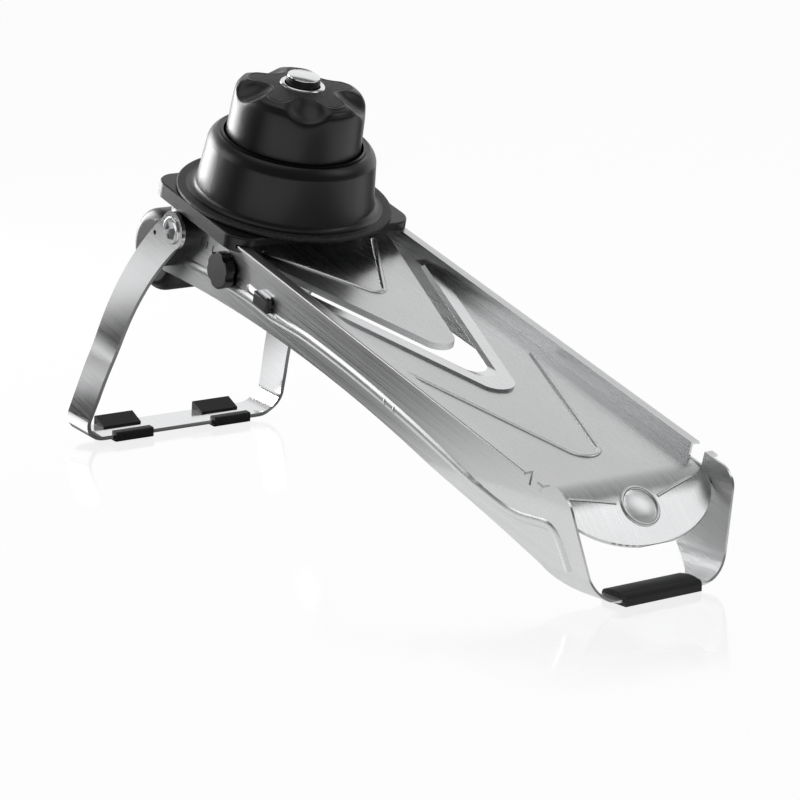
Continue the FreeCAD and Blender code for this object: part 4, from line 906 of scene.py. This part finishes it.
# %% Floor
SEEN_WHITE = 0.96
SHADED_WHITE = (0.86, 0.86, 0.86, 1)
PURE_WHITE = (1, 1, 1, 1)
FEET = [(-0.42, -0.03, 0.0), (0.0, -0.01, 0.0)]
GLOSS, GLOSS_ROUGHNESS = 0.13, 0.1
GLOSS_REACH = (0.04, 0.17)
FLOOR_HALF, FLOOR_HEIGHT = 12.0, -0.0002


def near_feet(tree, place):
    """Full gloss at a foot, fading to none a hand's breadth away."""
    masks = []
    for foot in FEET:
        apart = add_node(tree, "ShaderNodeVectorMath", {"operation": "DISTANCE"}, n0=place, n1=foot)
        masks.append(map_range(tree, apart.outputs["Value"], GLOSS_REACH, (GLOSS, 0.0), "SMOOTHSTEP"))
    return calc(tree, "MAXIMUM", *masks)


def floor_material():
    material, tree = open_material("studio_floor")
    ray = add_node(tree, "ShaderNodeLightPath").outputs
    place = add_node(tree, "ShaderNodeTexCoord").outputs["Object"]
    plain = add_node(tree, "ShaderNodeBsdfDiffuse", Color=SHADED_WHITE).outputs[0]
    mirrored = calc(tree, "MAXIMUM", ray["Is Glossy Ray"], ray["Is Transmission Ray"])
    # Mirrored, the floor glows with the painted pools of light; the camera sees plain white.
    level = calc(tree, "MAXIMUM", ray["Is Camera Ray"], painted_pool_level(tree, place))
    white = add_node(tree, "ShaderNodeEmission", Color=PURE_WHITE, Strength=level).outputs[0]
    share = calc(tree, "MULTIPLY_ADD", ray["Is Camera Ray"], SEEN_WHITE, mirrored)
    ground = add_node(tree, "ShaderNodeMixShader", n0=share, n1=plain, n2=white).outputs[0]
    gloss = add_node(tree, "ShaderNodeBsdfGlossy", Color=PURE_WHITE, Roughness=GLOSS_ROUGHNESS).outputs[0]
    mixed = add_node(tree, "ShaderNodeMixShader", n0=near_feet(tree, place), n1=ground, n2=gloss).outputs[0]
    end = add_node(tree, "ShaderNodeOutputMaterial")
    tree.links.new(mixed, end.inputs["Surface"])
    return material


def flat_square(name, half, height):
    mesh = bpy.data.meshes.new(name)
    corners = [(-half, -half, height), (half, -half, height), (half, half, height), (-half, half, height)]
    mesh.from_pydata(corners, [], [(0, 1, 2, 3)])
    return new_piece(name, mesh)


floor = flat_square("studio_floor", FLOOR_HALF, FLOOR_HEIGHT)
floor.data.materials.append(floor_material())
print("floor:", floor.name, "reaches", FLOOR_HALF, "each way")

# %% [markdown]
# ## Light
# Polished sheet looks like what it mirrors, so the room matters more than the lamps. An even white room
# would make the steel flat and chalky. Here the room is dim, with a white sweep behind the slicer and a glow
# overhead, and the camera still sees plain white. Three weak soft boxes add the edge lights on the black
# mouldings.

# %% Room
BEHIND = (-0.81, 0.585, 0.0)
ROOM, SWEEP_LIGHT = 0.15, 0.9
SWEEP_TOP, SWEEP_SIDE = (0.67, 0.74), (0.35, 0.75)
OVERHEAD, OVERHEAD_LEVEL = (0.88, 0.97), 0.8


def studio_world():
    """White for the camera; mirrored, a white sweep behind the slicer that fades into a dim room."""
    world = bpy.data.worlds.new("studio")
    world.use_nodes = True
    tree = world.node_tree
    tree.nodes.clear()
    ray = add_node(tree, "ShaderNodeLightPath").outputs
    way = add_node(tree, "ShaderNodeTexCoord").outputs["Generated"]
    lift = add_node(tree, "ShaderNodeSeparateXYZ", n0=way).outputs["Z"]
    away = add_node(tree, "ShaderNodeVectorMath", {"operation": "DOT_PRODUCT"}, n0=way, n1=BEHIND)
    under = map_range(tree, lift, SWEEP_TOP, (1.0, 0.0), "SMOOTHSTEP")
    past = map_range(tree, away.outputs["Value"], SWEEP_SIDE, (0.0, 1.0), "SMOOTHSTEP")
    overhead = map_range(tree, lift, OVERHEAD, (0.0, OVERHEAD_LEVEL), "SMOOTHSTEP")
    sweep = calc(tree, "MAXIMUM", calc(tree, "MULTIPLY", under, past), overhead)
    mirrored = calc(tree, "MAXIMUM", ray["Is Glossy Ray"], ray["Is Transmission Ray"])
    shown = calc(tree, "MAXIMUM", ray["Is Camera Ray"], calc(tree, "MULTIPLY", mirrored, sweep))
    level = map_range(tree, sweep, (0.0, 1.0), (ROOM, SWEEP_LIGHT))
    white = add_node(tree, "ShaderNodeBackground", Color=PURE_WHITE, Strength=1.0).outputs[0]
    room = add_node(tree, "ShaderNodeBackground", Color=PURE_WHITE, Strength=level).outputs[0]
    mixed = add_node(tree, "ShaderNodeMixShader", n0=shown, n1=room, n2=white).outputs[0]
    end = add_node(tree, "ShaderNodeOutputWorld")
    tree.links.new(mixed, end.inputs["Surface"])
    return world


scene.world = studio_world()
print("room:", scene.world.name)

# %% Soft boxes
SOFT_BOXES = {
    "left_box": {"place": (-0.80, -0.72, 0.50), "aim": (-0.2, 0.0, 0.09), "size": (0.35, 0.6), "power": 1.3},
    "rim_box": {"place": (-1.15, -0.24, 0.30), "aim": (-0.3, 0.0, 0.2), "size": (0.5, 0.54), "power": 8.0},
    "top_box": {"place": (0.38, 0.70, 0.84), "aim": (0.0, 0.0, 0.05), "size": (0.42, 0.5), "power": 1.1},
}


def soft_box(name, place, aim, size, power):
    """A rectangular lamp at a place, turned to face a point."""
    lamp = bpy.data.lights.new(name, "AREA")
    lamp.shape = "RECTANGLE"
    lamp.size, lamp.size_y = size
    lamp.energy = power
    light = bpy.data.objects.new(name, lamp)
    light.location = place
    light.rotation_euler = (Vector(aim) - Vector(place)).to_track_quat("-Z", "Y").to_euler()
    scene.collection.objects.link(light)


for name, settings in SOFT_BOXES.items():
    soft_box(name, **settings)
print("soft boxes:", sorted(SOFT_BOXES))
